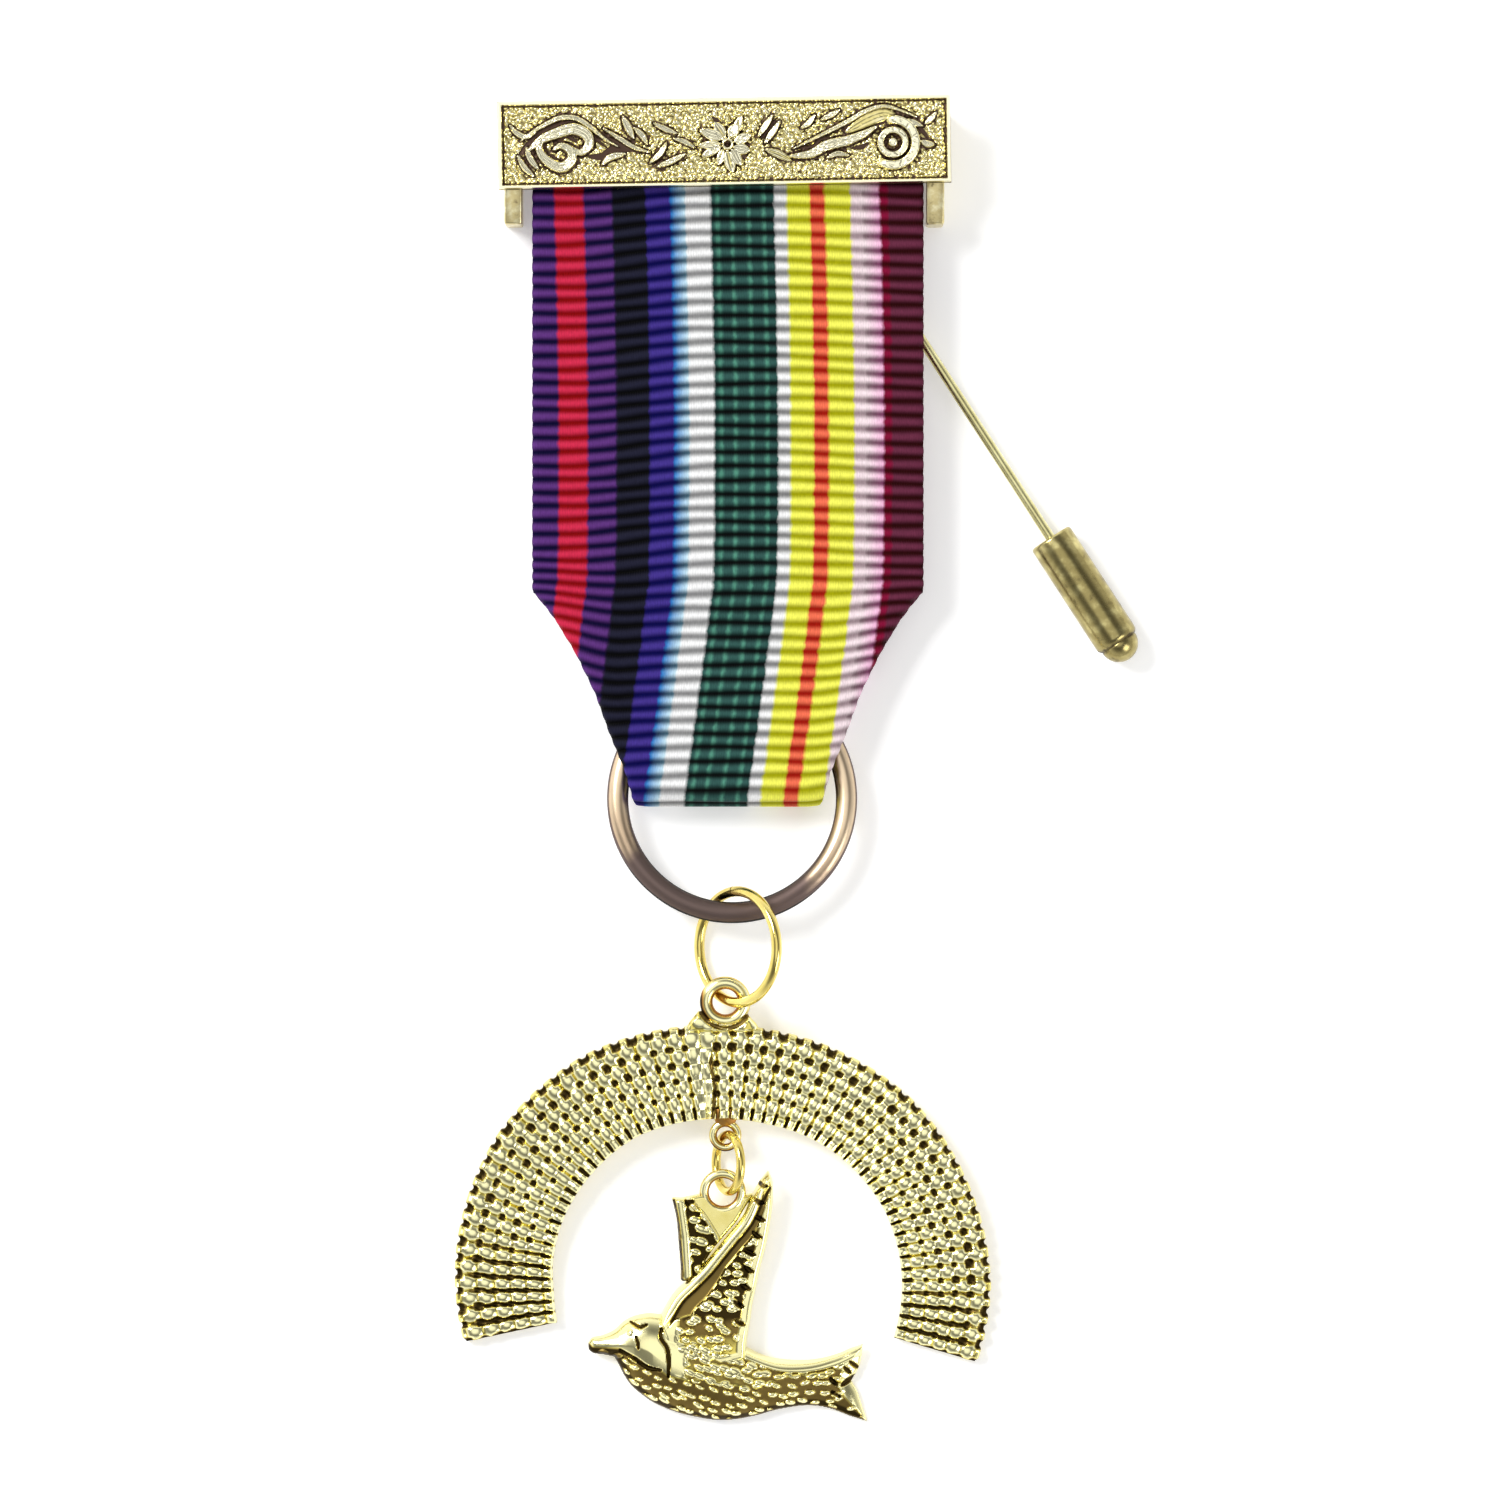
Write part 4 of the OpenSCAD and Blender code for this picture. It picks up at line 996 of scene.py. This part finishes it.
# A plain rim inside the left end, and a worn patch with a seam left of the crown's middle
rim = smooth(0.0, 0.012, share) * smooth(0.045, 0.028, share) * smooth(158, 166, angle)
patch_left, patch_right = (np.interp(share, [0, 1], ends) for ends in ([-1.9, -3.7], [-1.3, -1.0]))
patch = smooth(patch_left - 0.3, patch_left + 0.3, x) * smooth(patch_right + 0.3, patch_right - 0.2, x)
patch = patch * upper
seam_x = np.interp(share, [0, 0.35, 0.6, 0.8], [-0.95, -0.75, -1.15, -1.0])
seam = smooth(0.24, 0.06, np.abs(x - seam_x)) * smooth(0.8, 0.6, share) * upper
pit = pit * (1 - rim) * (1 - 0.85 * patch)

# %% The arch's plate
height = stud_t * (dome * (1 - 0.9 * pit) * (1 - 0.25 * patch))
height = height - 0.3 * seam - 0.3 * smooth(0.985, 1.0, share)
height = np.maximum(height - 0.3 * smooth(0.02, 0.0, share), 0.4 * rim)
# The outer edge is notched a little at each column of pits
radius = radius - 0.24 * smooth(0.55, 0.15, np.abs(du)) * smooth(0.93, 1.0, share) * (1 - patch)
x, y = radius * np.cos(np.radians(angle)), radius * np.sin(np.radians(angle))
# Marks: painted shade in the pits and in the valleys between the studs, darker at the outer edge and at the
# seam, lighter on the worn patch and the rim
valley = 0.42 * smooth(0.62, 1.0, np.abs(u)) + (0.26 + 0.22 * end) * smooth(0.68, 1.0, np.abs(v))
outer_dark = 0.3 * smooth(0.95, 0.99, share) * (1 - patch)
deep = 0.12 + 1.22 * pit + valley * (1 - 0.8 * patch) + seam - 0.3 * rim + outer_dark
points, faces, border = slab(x, y, arch_t + height, 0)
arch_marks = slab_marks(deep, 1.5, border, 0.52)

# %% Shoulder under the crown's loop
# The two loops: radius, wire, and the way from the arch's edge to the middle of the loop
crown_ring_r, crown_wire, crown_reach = 1.85, 1.24, 1.9
inner_ring_r, inner_wire, inner_reach = 1.2, 0.76, 2.25
loop_mid, loop_x = 0.585, 0.25
crown_at, inner_at = (loop_x, 26.0 + crown_reach), (loop_x, 17.1 - inner_reach)
# Top line of the shoulder: x, y
SHOULDER = [(-3.5, 25.4), (-3.2, 25.9), (-2.8, 26.4), (-2.4, 26.9), (-2.0, 27.0), (-1.4, 26.4),
            (-0.6, 26.15), (0.3, 26.05), (1.2, 26.15), (2.0, 26.5), (2.4, 26.7), (2.8, 26.2),
            (3.2, 25.8), (3.5, 25.3)]
shoulder_x, low_line = SHOULDER[-1][0], 24.5
x, tall = np.meshgrid(np.linspace(-shoulder_x, shoulder_x, 80), np.linspace(0, 1, 26))
top_line = np.interp(x, *np.array(SHOULDER).T)
y = low_line + (top_line - low_line) * tall
to_edge = np.minimum(top_line - y, shoulder_x - np.abs(x))
# A crease round the foot of the loop
crease = smooth(0.3, 0.08, np.abs(np.hypot(x - crown_at[0], y - crown_at[1]) - 2.5))
rough = lumps(x, y, (1.1, 0.8), seed=5)
height = 0.62 * smooth(0, 0.35, to_edge) + 0.10 * rough - 0.25 * crease - 0.75 * smooth(25.3, 24.7, y)
shoulder = slab(x, y, arch_t - 0.02 + height, 0.05)
deep = 0.2 + 0.8 * crease + 0.25 * smooth(0.3, 0.1, to_edge) + 0.3 * smooth(0.5, 0.2, rough)
shoulder_marks = slab_marks(deep, 1, shoulder[2], 0.7)
points, faces = joined((points, faces), shoulder[:2])
make_piece("arch_casting", placed(points, (arch_tilt, 0, 0), arch_at), faces, "jewel", ["rainbow_arch"],
           arch_gilt, {"recess": np.concatenate([arch_marks, shoulder_marks])})

# %% [markdown]
# ## Loops of the castings
# Each casting has loops for the small rings. Their holes mirror gold into gold, so they look orange
# brown inside. The same casting group paints that reflection: the mark is high on the inner wall of
# the loop, and there the loops' tarnish colour is a painted warm orange reflection instead of the
# dark brown of the pits. On one side the outer wall gets painted shade.

# %% Loops
def cast_loop(radius, wire, at, outer_shade_at=225, around=96, section=28):
    """A loop and its marks: painted reflection and shade on the inner wall, painted shade on the outer wall
    round one angle, and higher marks at the outer edge.
    """
    points, faces = torus(radius, wire, around, section)
    reach = np.hypot(points[:, 0], points[:, 1])
    off = np.radians(outer_shade_at) - np.arctan2(points[:, 1], points[:, 0])
    # Painted shade on the outer wall of the loop, round one angle
    outer_shade = smooth(0.15, 0.75, np.cos(off)) * smooth(radius + 0.12 * wire, radius + 0.4 * wire, reach)
    marks = 0.25 + 0.7 * smooth(radius - 0.12 * wire, radius - 0.42 * wire, reach) + 1.2 * outer_shade
    marks = marks + 0.4 * smooth(radius + 0.34 * wire, radius + 0.5 * wire, reach)
    return placed(points, at=at), faces, marks


def neck(outline, low, high, inset=0.82):
    """A small plate between two heights with a bevelled top."""
    outline = np.array(outline, float)
    centre = outline.mean(0)
    rings = [(1, low), (1, high - 0.15), (inset, high)]
    points = np.vstack([np.column_stack([centre + (outline - centre) * scale, np.full(len(outline), z)])
                        for scale, z in rings])
    count = len(outline)
    faces = grid_faces(len(rings), count, False, True)
    return points, faces + [list(range(count - 1, -1, -1)), list(range(2 * count, 3 * count))]


def loop_piece(name, node, parts, turn, at):
    """Loops of one casting as a piece."""
    points, faces = joined(*[part[:2] for part in parts])
    marks = np.concatenate([part[2] for part in parts])
    return make_piece(name, placed(points, turn, at), faces, "jewel", [node], loop_gilt,
                      {"recess": marks})


neck_points, neck_faces = neck([(1.5, 2.75), (-1.4, 2.75), (-0.95, 1.3), (-0.5, 0.9), (0.5, 0.9),
                                (1.0, 1.3)], -0.35, 0.4)
neck_points = placed(neck_points, at=(*inner_at, loop_mid))
loop_piece("arch_loops", "rainbow_arch",
           [cast_loop(crown_ring_r, crown_wire, (*crown_at, loop_mid)),
            cast_loop(inner_ring_r, inner_wire, (*inner_at, loop_mid), outer_shade_at=270),
            (neck_points, neck_faces, np.full(len(neck_points), 0.8))], (arch_tilt, 0, 0), arch_at)

# %% [markdown]
# ## The dove
# The dove is a flat-backed casting: a full rounded body, a near wing with a smooth rolled leading
# edge, a far wing behind it, and small feathers all over. Its outline is drawn with curves through a few
# points, and the distance to that outline gives the rounding of the body and of the edges. The
# feathers are lumps and strokes on top. The mesh keeps the cells inside the outline, and the points
# next to it are moved on to it, so that the edge is clean.

# %% The dove's outline and lines, in millimetres from its loop
BODY_LINE = [(-13.3, -15.0), (-12.9, -14.5), (-11.9, -14.3), (-10.8, -13.8), (-9.8, -12.9), (-8.8, -12.4),
             (-7.6, -12.15), (-6.6, -12.2), (-5.5, -12.4), (-2.0, -13.5), (1.0, -14.8), (2.4, -15.6),
             (3.4, -16.1), (4.9, -16.55), (6.9, -16.75), (8.9, -16.65), (10.9, -16.15), (12.3, -15.55),
             (13.45, -15.15)]
TAIL_LINE = [(13.45, -15.15), (13.3, -16.3), (13.05, -17.4), (12.3, -18.75)]
PRONG_LINE = [(12.3, -18.75), (12.9, -19.8), (13.35, -21.2), (13.85, -22.7)]
BELLY_LINE = [(13.85, -22.7), (12.2, -22.2), (10.2, -21.45), (8.0, -21.15), (5.2, -21.55), (3.2, -22.1),
              (1.2, -22.5), (-0.8, -22.6), (-2.8, -22.3), (-4.8, -21.8), (-6.8, -20.95), (-8.0, -20.15),
              (-9.1, -19.2), (-9.8, -18.2), (-10.3, -17.2), (-10.8, -16.35)]
BEAK_LINE = [(-10.8, -16.35), (-11.8, -16.15), (-12.8, -16.0), (-13.25, -15.6), (-13.3, -15.0)]
RIDGE_LINE = [(-6.5, -12.9), (-5.75, -11.3), (-4.85, -9.95), (-3.6, -8.8), (-2.2, -7.4), (-1.0, -5.9),
              (0.2, -4.4), (1.6, -2.65), (2.55, -0.7), (3.3, 0.8), (4.15, 1.85)]
TRAIL_LINE = [(4.3, 1.8), (4.65, 0.7), (4.65, -1.3), (4.4, -3.3), (3.95, -5.7), (3.45, -7.6), (3.05, -9.6),
              (2.7, -11.2), (2.5, -12.8), (2.2, -14.6), (2.1, -16.5)]
WING_ROOT = [(-2.0, -17.5), (-5.2, -16.5)]
FAR_LINE = [(-3.0, -8.6), (-4.2, -8.9), (-4.3, -7.5), (-4.5, -5.0), (-4.7, -2.8), (-5.15, -0.75)]
WEB_LINE = [(-4.1, -0.75), (-2.2, -0.35), (-1.6, -0.6), (-1.15, -1.2), (0.0, -1.7), (1.15, -1.2),
            (1.7, -0.5), (2.8, -0.3), (1.2, -3.0), (-1.0, -5.6)]
# Where the bright feathers of the back end: x, y
BELT_LINE = [(-13.5, -15.4), (-10.6, -15.6), (-8.7, -16.3), (-7.5, -17.1), (-6.2, -17.35),
             (-5.5, -17.9), (-3.5, -18.3), (0, -18.6), (3, -19.2), (5, -18.4), (7, -17.9), (9, -18.2),
             (12, -19.0), (14.5, -20)]
# Dark lines of the head: width, points
HEAD_LINES = [(0.46, [(-6.1, -13.2), (-6.25, -14.2), (-5.6, -15.25), (-5.45, -16.7), (-5.5, -18.0)]),
              (0.42, [(-9.15, -12.85), (-8.3, -13.25), (-7.6, -13.05)]),
              (0.36, [(-8.65, -14.1), (-8.45, -14.7), (-8.4, -15.3)]),
              (0.50, [(-10.2, -15.5), (-8.7, -16.35), (-7.5, -17.1), (-6.2, -17.35)])]
# The smooth bar along the tail's upper edge
TAIL_BAR = [(2.2, -15.9), (4.9, -17.0), (7.0, -17.25), (9.0, -17.1), (11.0, -16.55), (13.0, -15.6)]
# Dark cuts of the tail: width, points
TAIL_CUTS = [(0.5, [(12.2, -16.8), (13.0, -17.45)]), (0.5, [(11.6, -17.3), (12.2, -17.9)]),
             (0.62, [(11.4, -19.1), (12.6, -18.2)]), (0.5, [(10.3, -18.4), (10.9, -19.0)]),
             (0.45, [(10.4, -19.7), (11.2, -20.15)])]
# Body: place along it, half height, thickness
GIRTH = [(-13.3, 0.5, 0.8), (-12.8, 0.75, 1.0), (-11.5, 1.0, 1.3), (-10.3, 2.0, 1.8), (-8.8, 3.5, 2.3),
         (-7.0, 4.2, 2.55), (-4.0, 4.5, 2.7), (-0.5, 4.3, 2.65), (2.2, 3.4, 2.4), (5.0, 2.5, 2.0),
         (8.0, 2.2, 1.55), (10.2, 2.5, 1.3), (13.7, 2.3, 1.05)]
# Thickness of the near wing, of the far wing and of every edge, and height of the near wing's ridge
wing_t, web_t, edge_t, ridge_t = 1.3, 1.0, 0.35, 0.54


def inside_distance(x, y, outline):
    """Distance to a closed outline, positive inside it."""
    closed = np.vstack([outline, outline[:1]])
    away = near_path(x, y, closed)[0]
    crossings = np.zeros(x.shape, int)
    for (ax, ay), (bx, by) in zip(closed[:-1], closed[1:]):
        if ay != by:
            spans = (ay > y) != (by > y)
            crossings += spans & (x < ax + (y - ay) * (bx - ax) / (by - ay))
    return np.where(crossings % 2 == 1, away, -away)


def rounded(distance, reach):
    """0 at an edge and 1 from reach inwards, round like a quarter of a circle."""
    return np.sqrt(np.clip(1 - (1 - np.clip(distance / reach, 0, 1)) ** 2, 0, 1))


# %% The dove's surface
cell = 0.078
x, y = np.meshgrid(np.arange(-13.7, 14.3, cell), np.arange(-23.1, 2.3, cell))
body_outline = np.vstack([curve(BODY_LINE, 5), curve(TAIL_LINE, 4), curve(PRONG_LINE, 4)[1:],
                          curve(BELLY_LINE, 5)[1:], curve(BEAK_LINE, 4)[1:]])
wing_outline = np.vstack([curve(RIDGE_LINE, 5), curve(TRAIL_LINE, 5), WING_ROOT])
far_outline = np.vstack([curve(FAR_LINE, 4), curve(WEB_LINE[:8], 4), WEB_LINE[8:]])
in_body = inside_distance(x, y, body_outline)
in_wing = inside_distance(x, y, wing_outline)
in_far = inside_distance(x, y, far_outline)
along, girth, thick = np.array(GIRTH).T
half_h, thickness = np.interp(x, along, girth), np.interp(x, along, thick)
body = edge_t + (thickness - edge_t) * rounded(in_body, half_h)
body = np.where(in_body > 0, body, 0)

# %% The near wing: a rolled leading edge and a smooth band behind it
ridge_away, ridge_share, _ = near_path(x, y, curve(RIDGE_LINE, 8) + np.array([0.42, -0.25]))
wing_top = wing_t + 1.0 * smooth(-8.5, -14.0, y)
wing = np.where(in_wing > 0, edge_t + (wing_top - edge_t) * rounded(in_wing, 0.5), 0)
band_w = np.interp(ridge_share, [0, 0.06, 0.14, 0.3, 0.45, 0.65, 0.85, 1],
                   [0, 0.3, 1.5, 1.35, 0.8, 0.9, 0.5, 0.2])
from_ridge = ridge_away - 0.5
band = (in_wing > 0.2) * smooth(0, 0.12, from_ridge) * smooth(band_w + 0.15, band_w - 0.1, from_ridge)
foot_line = smooth(0.34, 0.14, np.abs(from_ridge - 0.1)) * smooth(0.01, 0.06, ridge_share)
foot_line = (in_wing > 0.2) * foot_line
ridge_w = 0.62 * smooth(-0.05, 0.12, ridge_share) * smooth(1.02, 0.75, ridge_share) + 0.1
ridge = round_top(ridge_away, ridge_w) * (in_wing > 0)
wing = wing - 0.16 * band + ridge_t * ridge

# %% The far wing and the web
far_strip_away = near_path(x, y, [(-3.6, -8.6), (-3.85, -4.5), (-4.4, -0.6)])[0]
far_strip = round_top(far_strip_away, 0.5)
arm = stroke(x, y, [(-3.6, -0.9), (-2.3, -2.2), (-1.3, -3.7), (-0.6, -4.9)], 0.5, 0.9)
far_area = (in_far > 0.1) * smooth(0.15, -0.1, x + 3.63 + 0.6 * y) * smooth(0.35, 0.55, far_strip_away)
far = np.where(in_far > 0, edge_t + (web_t - edge_t) * rounded(in_far, 0.35), 0)
far = far + (in_far > 0) * (0.32 * far_strip + 0.26 * arm)

# %% The dove's feathers
def feathers(zone, rows, pitch, fill, tall, ground, seed, lean, stretch=1.1, jitter=0.6):
    """Raised feathers in a zone: their heights, and marks that are high on the ground between them."""
    tips = lumps(x, rows, pitch, seed=seed, stretch=stretch, lean=lean, jitter=jitter, fill=fill)
    return zone * (tall * tips - 0.06), zone * ground * (1 - smooth(0.1, 0.5, tips))


wing_zone = (in_wing > 0) * smooth(0, 0.25, from_ridge - band_w) * smooth(0.85, 1.15, in_wing)
wing_zone = wing_zone * smooth(-5.0, -4.2, x - 0.12 * (y + 14))
wing_ground = np.interp(y, [-17.5, -15.5, -14.2, -13.0, -11.5], [0.35, 0.45, 0.6, 0.95, 1.35])
wing_rise, wing_marks = feathers(wing_zone, y, (1.12, 0.92), fill=0.47, tall=0.34, ground=wing_ground,
                                 seed=7, lean=-14, jitter=0.8)
wing = wing + wing_rise
# Slits between the feathers of the trailing edge, every third one farther in
slits = np.zeros(x.shape)
slit_gap = 1.68
for i in range(9):
    slit_y = 0.5 - slit_gap * i
    slit_x = np.interp(slit_y, *np.array(TRAIL_LINE[:10])[::-1, ::-1].T) - 0.6 - 0.3 * (i % 3 == 1)
    cut_line = [(slit_x, slit_y), (slit_x - 0.4, slit_y + 0.15),
                (slit_x - 0.85, slit_y + 0.4 + 0.15 * (i % 2))]
    slits = np.maximum(slits, stroke(x, y, cut_line, 0.55, 0.45))
wing = wing - 0.3 * slits * (in_wing > 0)
far_rise, far_marks = feathers(far_area, y, (1.3, 1.05), fill=0.46, tall=0.32, ground=1.35, seed=11,
                               lean=-5)
far = far + far_rise

# %% Back, belly and tail
spine = np.interp(x, [-10, -5, 0, 5, 10, 14], [-15.0, -16.6, -18.0, -18.9, -18.8, -18.7])
belt = smooth(0.3, -0.35, y - np.interp(x, *np.array(BELT_LINE).T))
tail_bar = round_top(near_path(x, y, curve(TAIL_BAR))[0], 0.52)
prong = smooth(-0.3, 0.3, y + 20.6 + (x - 12.0) * 1.15) * smooth(11.0, 11.8, x)
body_zone = (in_body > 0) * smooth(0.15, 0.4, in_body) * (tail_bar == 0) * (1 - prong)
back_zone = body_zone * (1 - belt) * smooth(-4.2, -3.5, x)
back_rise, back_marks = feathers(back_zone, y - spine, (1.05, 0.78), fill=0.50, tall=0.26, ground=0.62,
                                 seed=15, lean=4, jitter=0.55)
belly_ground = 0.85 + 0.4 * smooth(1.0, 0.4, in_body)
belly_rise, belly_marks = feathers(body_zone * belt, y - spine, (1.25, 0.84), fill=0.36, tall=0.30,
                                   ground=belly_ground, seed=19, lean=-3, stretch=1.15)
tail_zone = body_zone * (1 - belt) * smooth(4.0, 5.5, x)
body = body + back_rise + belly_rise + 0.28 * tail_bar * (in_body > 0)

# %% The dove's height
creases = np.zeros(x.shape)
for width, line in HEAD_LINES + TAIL_CUTS:
    creases = np.maximum(creases, stroke(x, y, line, width, 0.6))
eye_at, eye_r = (-9.2, -13.75), 0.26
eye = round_top(np.hypot(x - eye_at[0], y - eye_at[1]), eye_r)
height = np.maximum.reduce([body, wing, far]) - 0.28 * creases + 0.14 * eye

# %% The dove's mesh and marks
outline_distance = np.maximum.reduce([in_body, in_wing, in_far])
slope_y, slope_x = np.gradient(outline_distance, cell)
number = np.arange(x.size).reshape(x.shape)
centre_distance = (outline_distance[:-1, :-1] + outline_distance[1:, 1:]) / 2
quads = np.stack([number[:-1, :-1], number[:-1, 1:], number[1:, 1:], number[1:, :-1]], -1)
kept = quads[centre_distance > 0]
uses = np.bincount(kept.ravel(), minlength=x.size).reshape(x.shape)
at_edge = (uses > 0) & (uses < 4)
steep = np.clip(np.hypot(slope_x, slope_y), 0.5, None) ** 2
move = np.where(at_edge, np.clip(outline_distance, -cell, cell), 0)
x_on, y_on = x - move * slope_x / steep, y - move * slope_y / steep
height = np.where(at_edge, np.minimum(height, edge_t + 0.1), np.maximum(height, edge_t))
# Marks: the ground between feathers, lines and cuts, the shade at lower edges and the flat web
on_body, on_wing = (body >= wing) & (body >= far), (wing > body) & (wing >= far)
feather_marks = np.where(on_body, back_marks + belly_marks + 0.3 * tail_zone,
                         np.where(on_wing, wing_marks, far_marks))
shade = smooth(0.45, 0.15, outline_distance) * smooth(0.15, 0.6, 0.6 * slope_x + 0.8 * slope_y)
shade = shade + 0.9 * smooth(-15.1, -15.6, y) * smooth(-9.6, -10.4, x)
web = (height == far) * (1 - np.maximum(far_strip, arm)) * (1 - far_area)
deep = 0.15 + feather_marks + np.where(on_body, 0, 0.72 * band + 0.55 * foot_line)
deep = deep + 1.2 * (slits * on_wing + creases)
deep = deep + 1.1 * shade + 0.25 * web + 0.3 * (recess(height, 5, 0.55) - 0.5) * (1 - web) - 0.1 * ridge
used = np.flatnonzero(uses.ravel())
renumber = np.full(x.size, -1)
renumber[used] = np.arange(len(used))
kept = renumber[kept]
front_points = np.stack([x_on, y_on, height], -1).reshape(-1, 3)[used]
back_points = front_points * np.array([1, 1, 0])
count = len(used)
edges = np.concatenate([kept[:, [0, 1]], kept[:, [1, 2]], kept[:, [2, 3]], kept[:, [3, 0]]])
keys = set(map(tuple, edges.tolist()))
rim_edges = [edge for edge in keys if (edge[1], edge[0]) not in keys]
sides = [[b, a, a + count, b + count] for a, b in rim_edges]
faces = kept.tolist() + (kept[:, ::-1] + count).tolist() + sides
marks = np.concatenate([np.clip(deep, 0, 1.5).ravel()[used], np.full(count, 0.45)])
dove_mid, dove_tilt = 0.55, 5.704
dove_at = (0.035, -101.589, 2.828)
points = placed(np.concatenate([front_points, back_points]), at=(0, 0, -dove_mid))
make_piece("dove_casting", placed(points, (dove_tilt, 0, 0), dove_at), faces, "jewel", ["dove"],
           dove_gilt, {"recess": marks})
loop_piece("dove_loop", "dove", [cast_loop(1.8, 0.9, (-0.2, -0.15, 0), outer_shade_at=255)], (dove_tilt, 0, 0),
           dove_at)

# %% [markdown]
# ## Pin and cap
# The stick pin is straight brass wire and stays as packed, with a better finish. Its cap is a turned
# tube with a crisp mouth, a crease and a ball end, which a lathe profile gives exactly. Handling has
# worn the cap and left darker blotches.

# %% Pin and cap
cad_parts["pin"].material_slots[0].material = pin_brass
# Slope and splay of the pin in degrees, and where the cap's mouth is along it
pin_slope, pin_splay, grip_from = 0.9066, 33.0, 45.5
cap_r, cap_l, hole_r, hole_l, ball_r = 2.2, 14.1, 0.53, 9.5, 1.89
ball_start = cap_l - ball_r
ball_turn = np.radians(np.linspace(4, 89, 16))
# From the end of the hole round the mouth, along the tube, into the crease and over the ball
profile = [(hole_r, hole_l), (hole_r, 0.1), (hole_r + 0.1, 0), (1.92, 0), (2.12, 0.08), (cap_r, 0.28),
           (cap_r, 2.0), (cap_r, 6.0), (cap_r, 10.0), (cap_r, ball_start - 0.62),
           (cap_r - 0.05, ball_start - 0.35), (cap_r - 0.22, ball_start - 0.12), (ball_r - 0.06, ball_start)]
profile += [(ball_r * math.cos(t), ball_start + ball_r * math.sin(t)) for t in ball_turn]
points, faces = turned(profile, 72)
up_tube = points[:, 2]
# Marks lighter at the mouth and darker in the crease before the ball
cap_marks = 0.5 - 0.22 * smooth(0.6, 0.0, up_tube) + 0.25 * np.exp(-((up_tube - ball_start + 0.1) / 0.25) ** 2)
points = placed(points, at=(0, 0, grip_from))
points = placed(points, (0, 90 - pin_slope, pin_splay - 90), (*rivet_at, 1.53))
make_piece("pin_cap_tube", points, faces, "cap", ["pin_cap"], cap_brass, {"recess": cap_marks})

# %% [markdown]
# ## Table and light
# The photograph is a cut-out on white, lit all round. A pale table with a large soft sky does the
# same. Metal shows what it mirrors, so the sky has a bright top, a dark band round it and a bright
# horizon: flat places turn bright and rounded ones get a dark line.

# %% Table
material, _, shader = new_material("pale table")
shader.inputs["Base Color"].default_value = (0.93, 0.93, 0.93, 1)
shader.inputs["Roughness"].default_value = 0.8
shader.inputs["Emission Color"].default_value = (1, 1, 1, 1)
shader.inputs["Emission Strength"].default_value = 0.28
table_half = 1.6
corners = [(table_half * x, table_half * y, 0) for x, y in ((-1, -1), (1, -1), (1, 1), (-1, 1))]
table_mesh = bpy.data.meshes.new("table")
table_mesh.from_pydata(corners, [], [(0, 1, 2, 3)])
table_mesh.materials.append(material)
table = bpy.data.objects.new("table", table_mesh)
scene.collection.objects.link(table)

# %% Sky and lamps
world = bpy.data.worlds.new("soft studio")
scene.world = world
world.use_nodes = True
sky = world.node_tree
direction = add(sky, "ShaderNodeTexCoord").outputs["Generated"]
parts = add(sky, "ShaderNodeSeparateXYZ", None, {0: direction}).outputs
# Brightness of the sky by the height of the direction: 0 at the horizon, 1 overhead
SKY_STOPS = [(0.0, 0.95), (0.30, 1.0), (0.48, 0.75), (0.62, 0.35), (0.80, 0.16), (0.90, 0.25),
             (0.955, 1.05), (1.0, 1.15)]
brightness = ramp_of(sky, parts["Z"], [(at, (value, value, value, 1)) for at, value in SKY_STOPS])
side = maths(sky, "MULTIPLY_ADD", parts["X"], -0.22, maths(sky, "MULTIPLY_ADD", parts["Y"], 0.12, 1.0))
background = sky.nodes["Background"]
sky.links.new(brightness, background.inputs["Color"])
sky.links.new(side, background.inputs["Strength"])


def lamp(name, place, aim, size, power):
    """A soft square lamp, in metres, turned to a point."""
    data = bpy.data.lights.new(name, "AREA")
    data.size, data.energy = size, power
    light = bpy.data.objects.new(name, data)
    light.location = place
    light.rotation_euler = (Vector(aim) - Vector(place)).to_track_quat("-Z", "Y").to_euler()
    scene.collection.objects.link(light)


jewel_middle = (0.0, -0.06, 0.0)
lamp("key", (-0.55, 0.35, 0.75), jewel_middle, 0.35, 7.0)
lamp("fill", (0.7, -0.5, 0.6), jewel_middle, 0.5, 3.0)
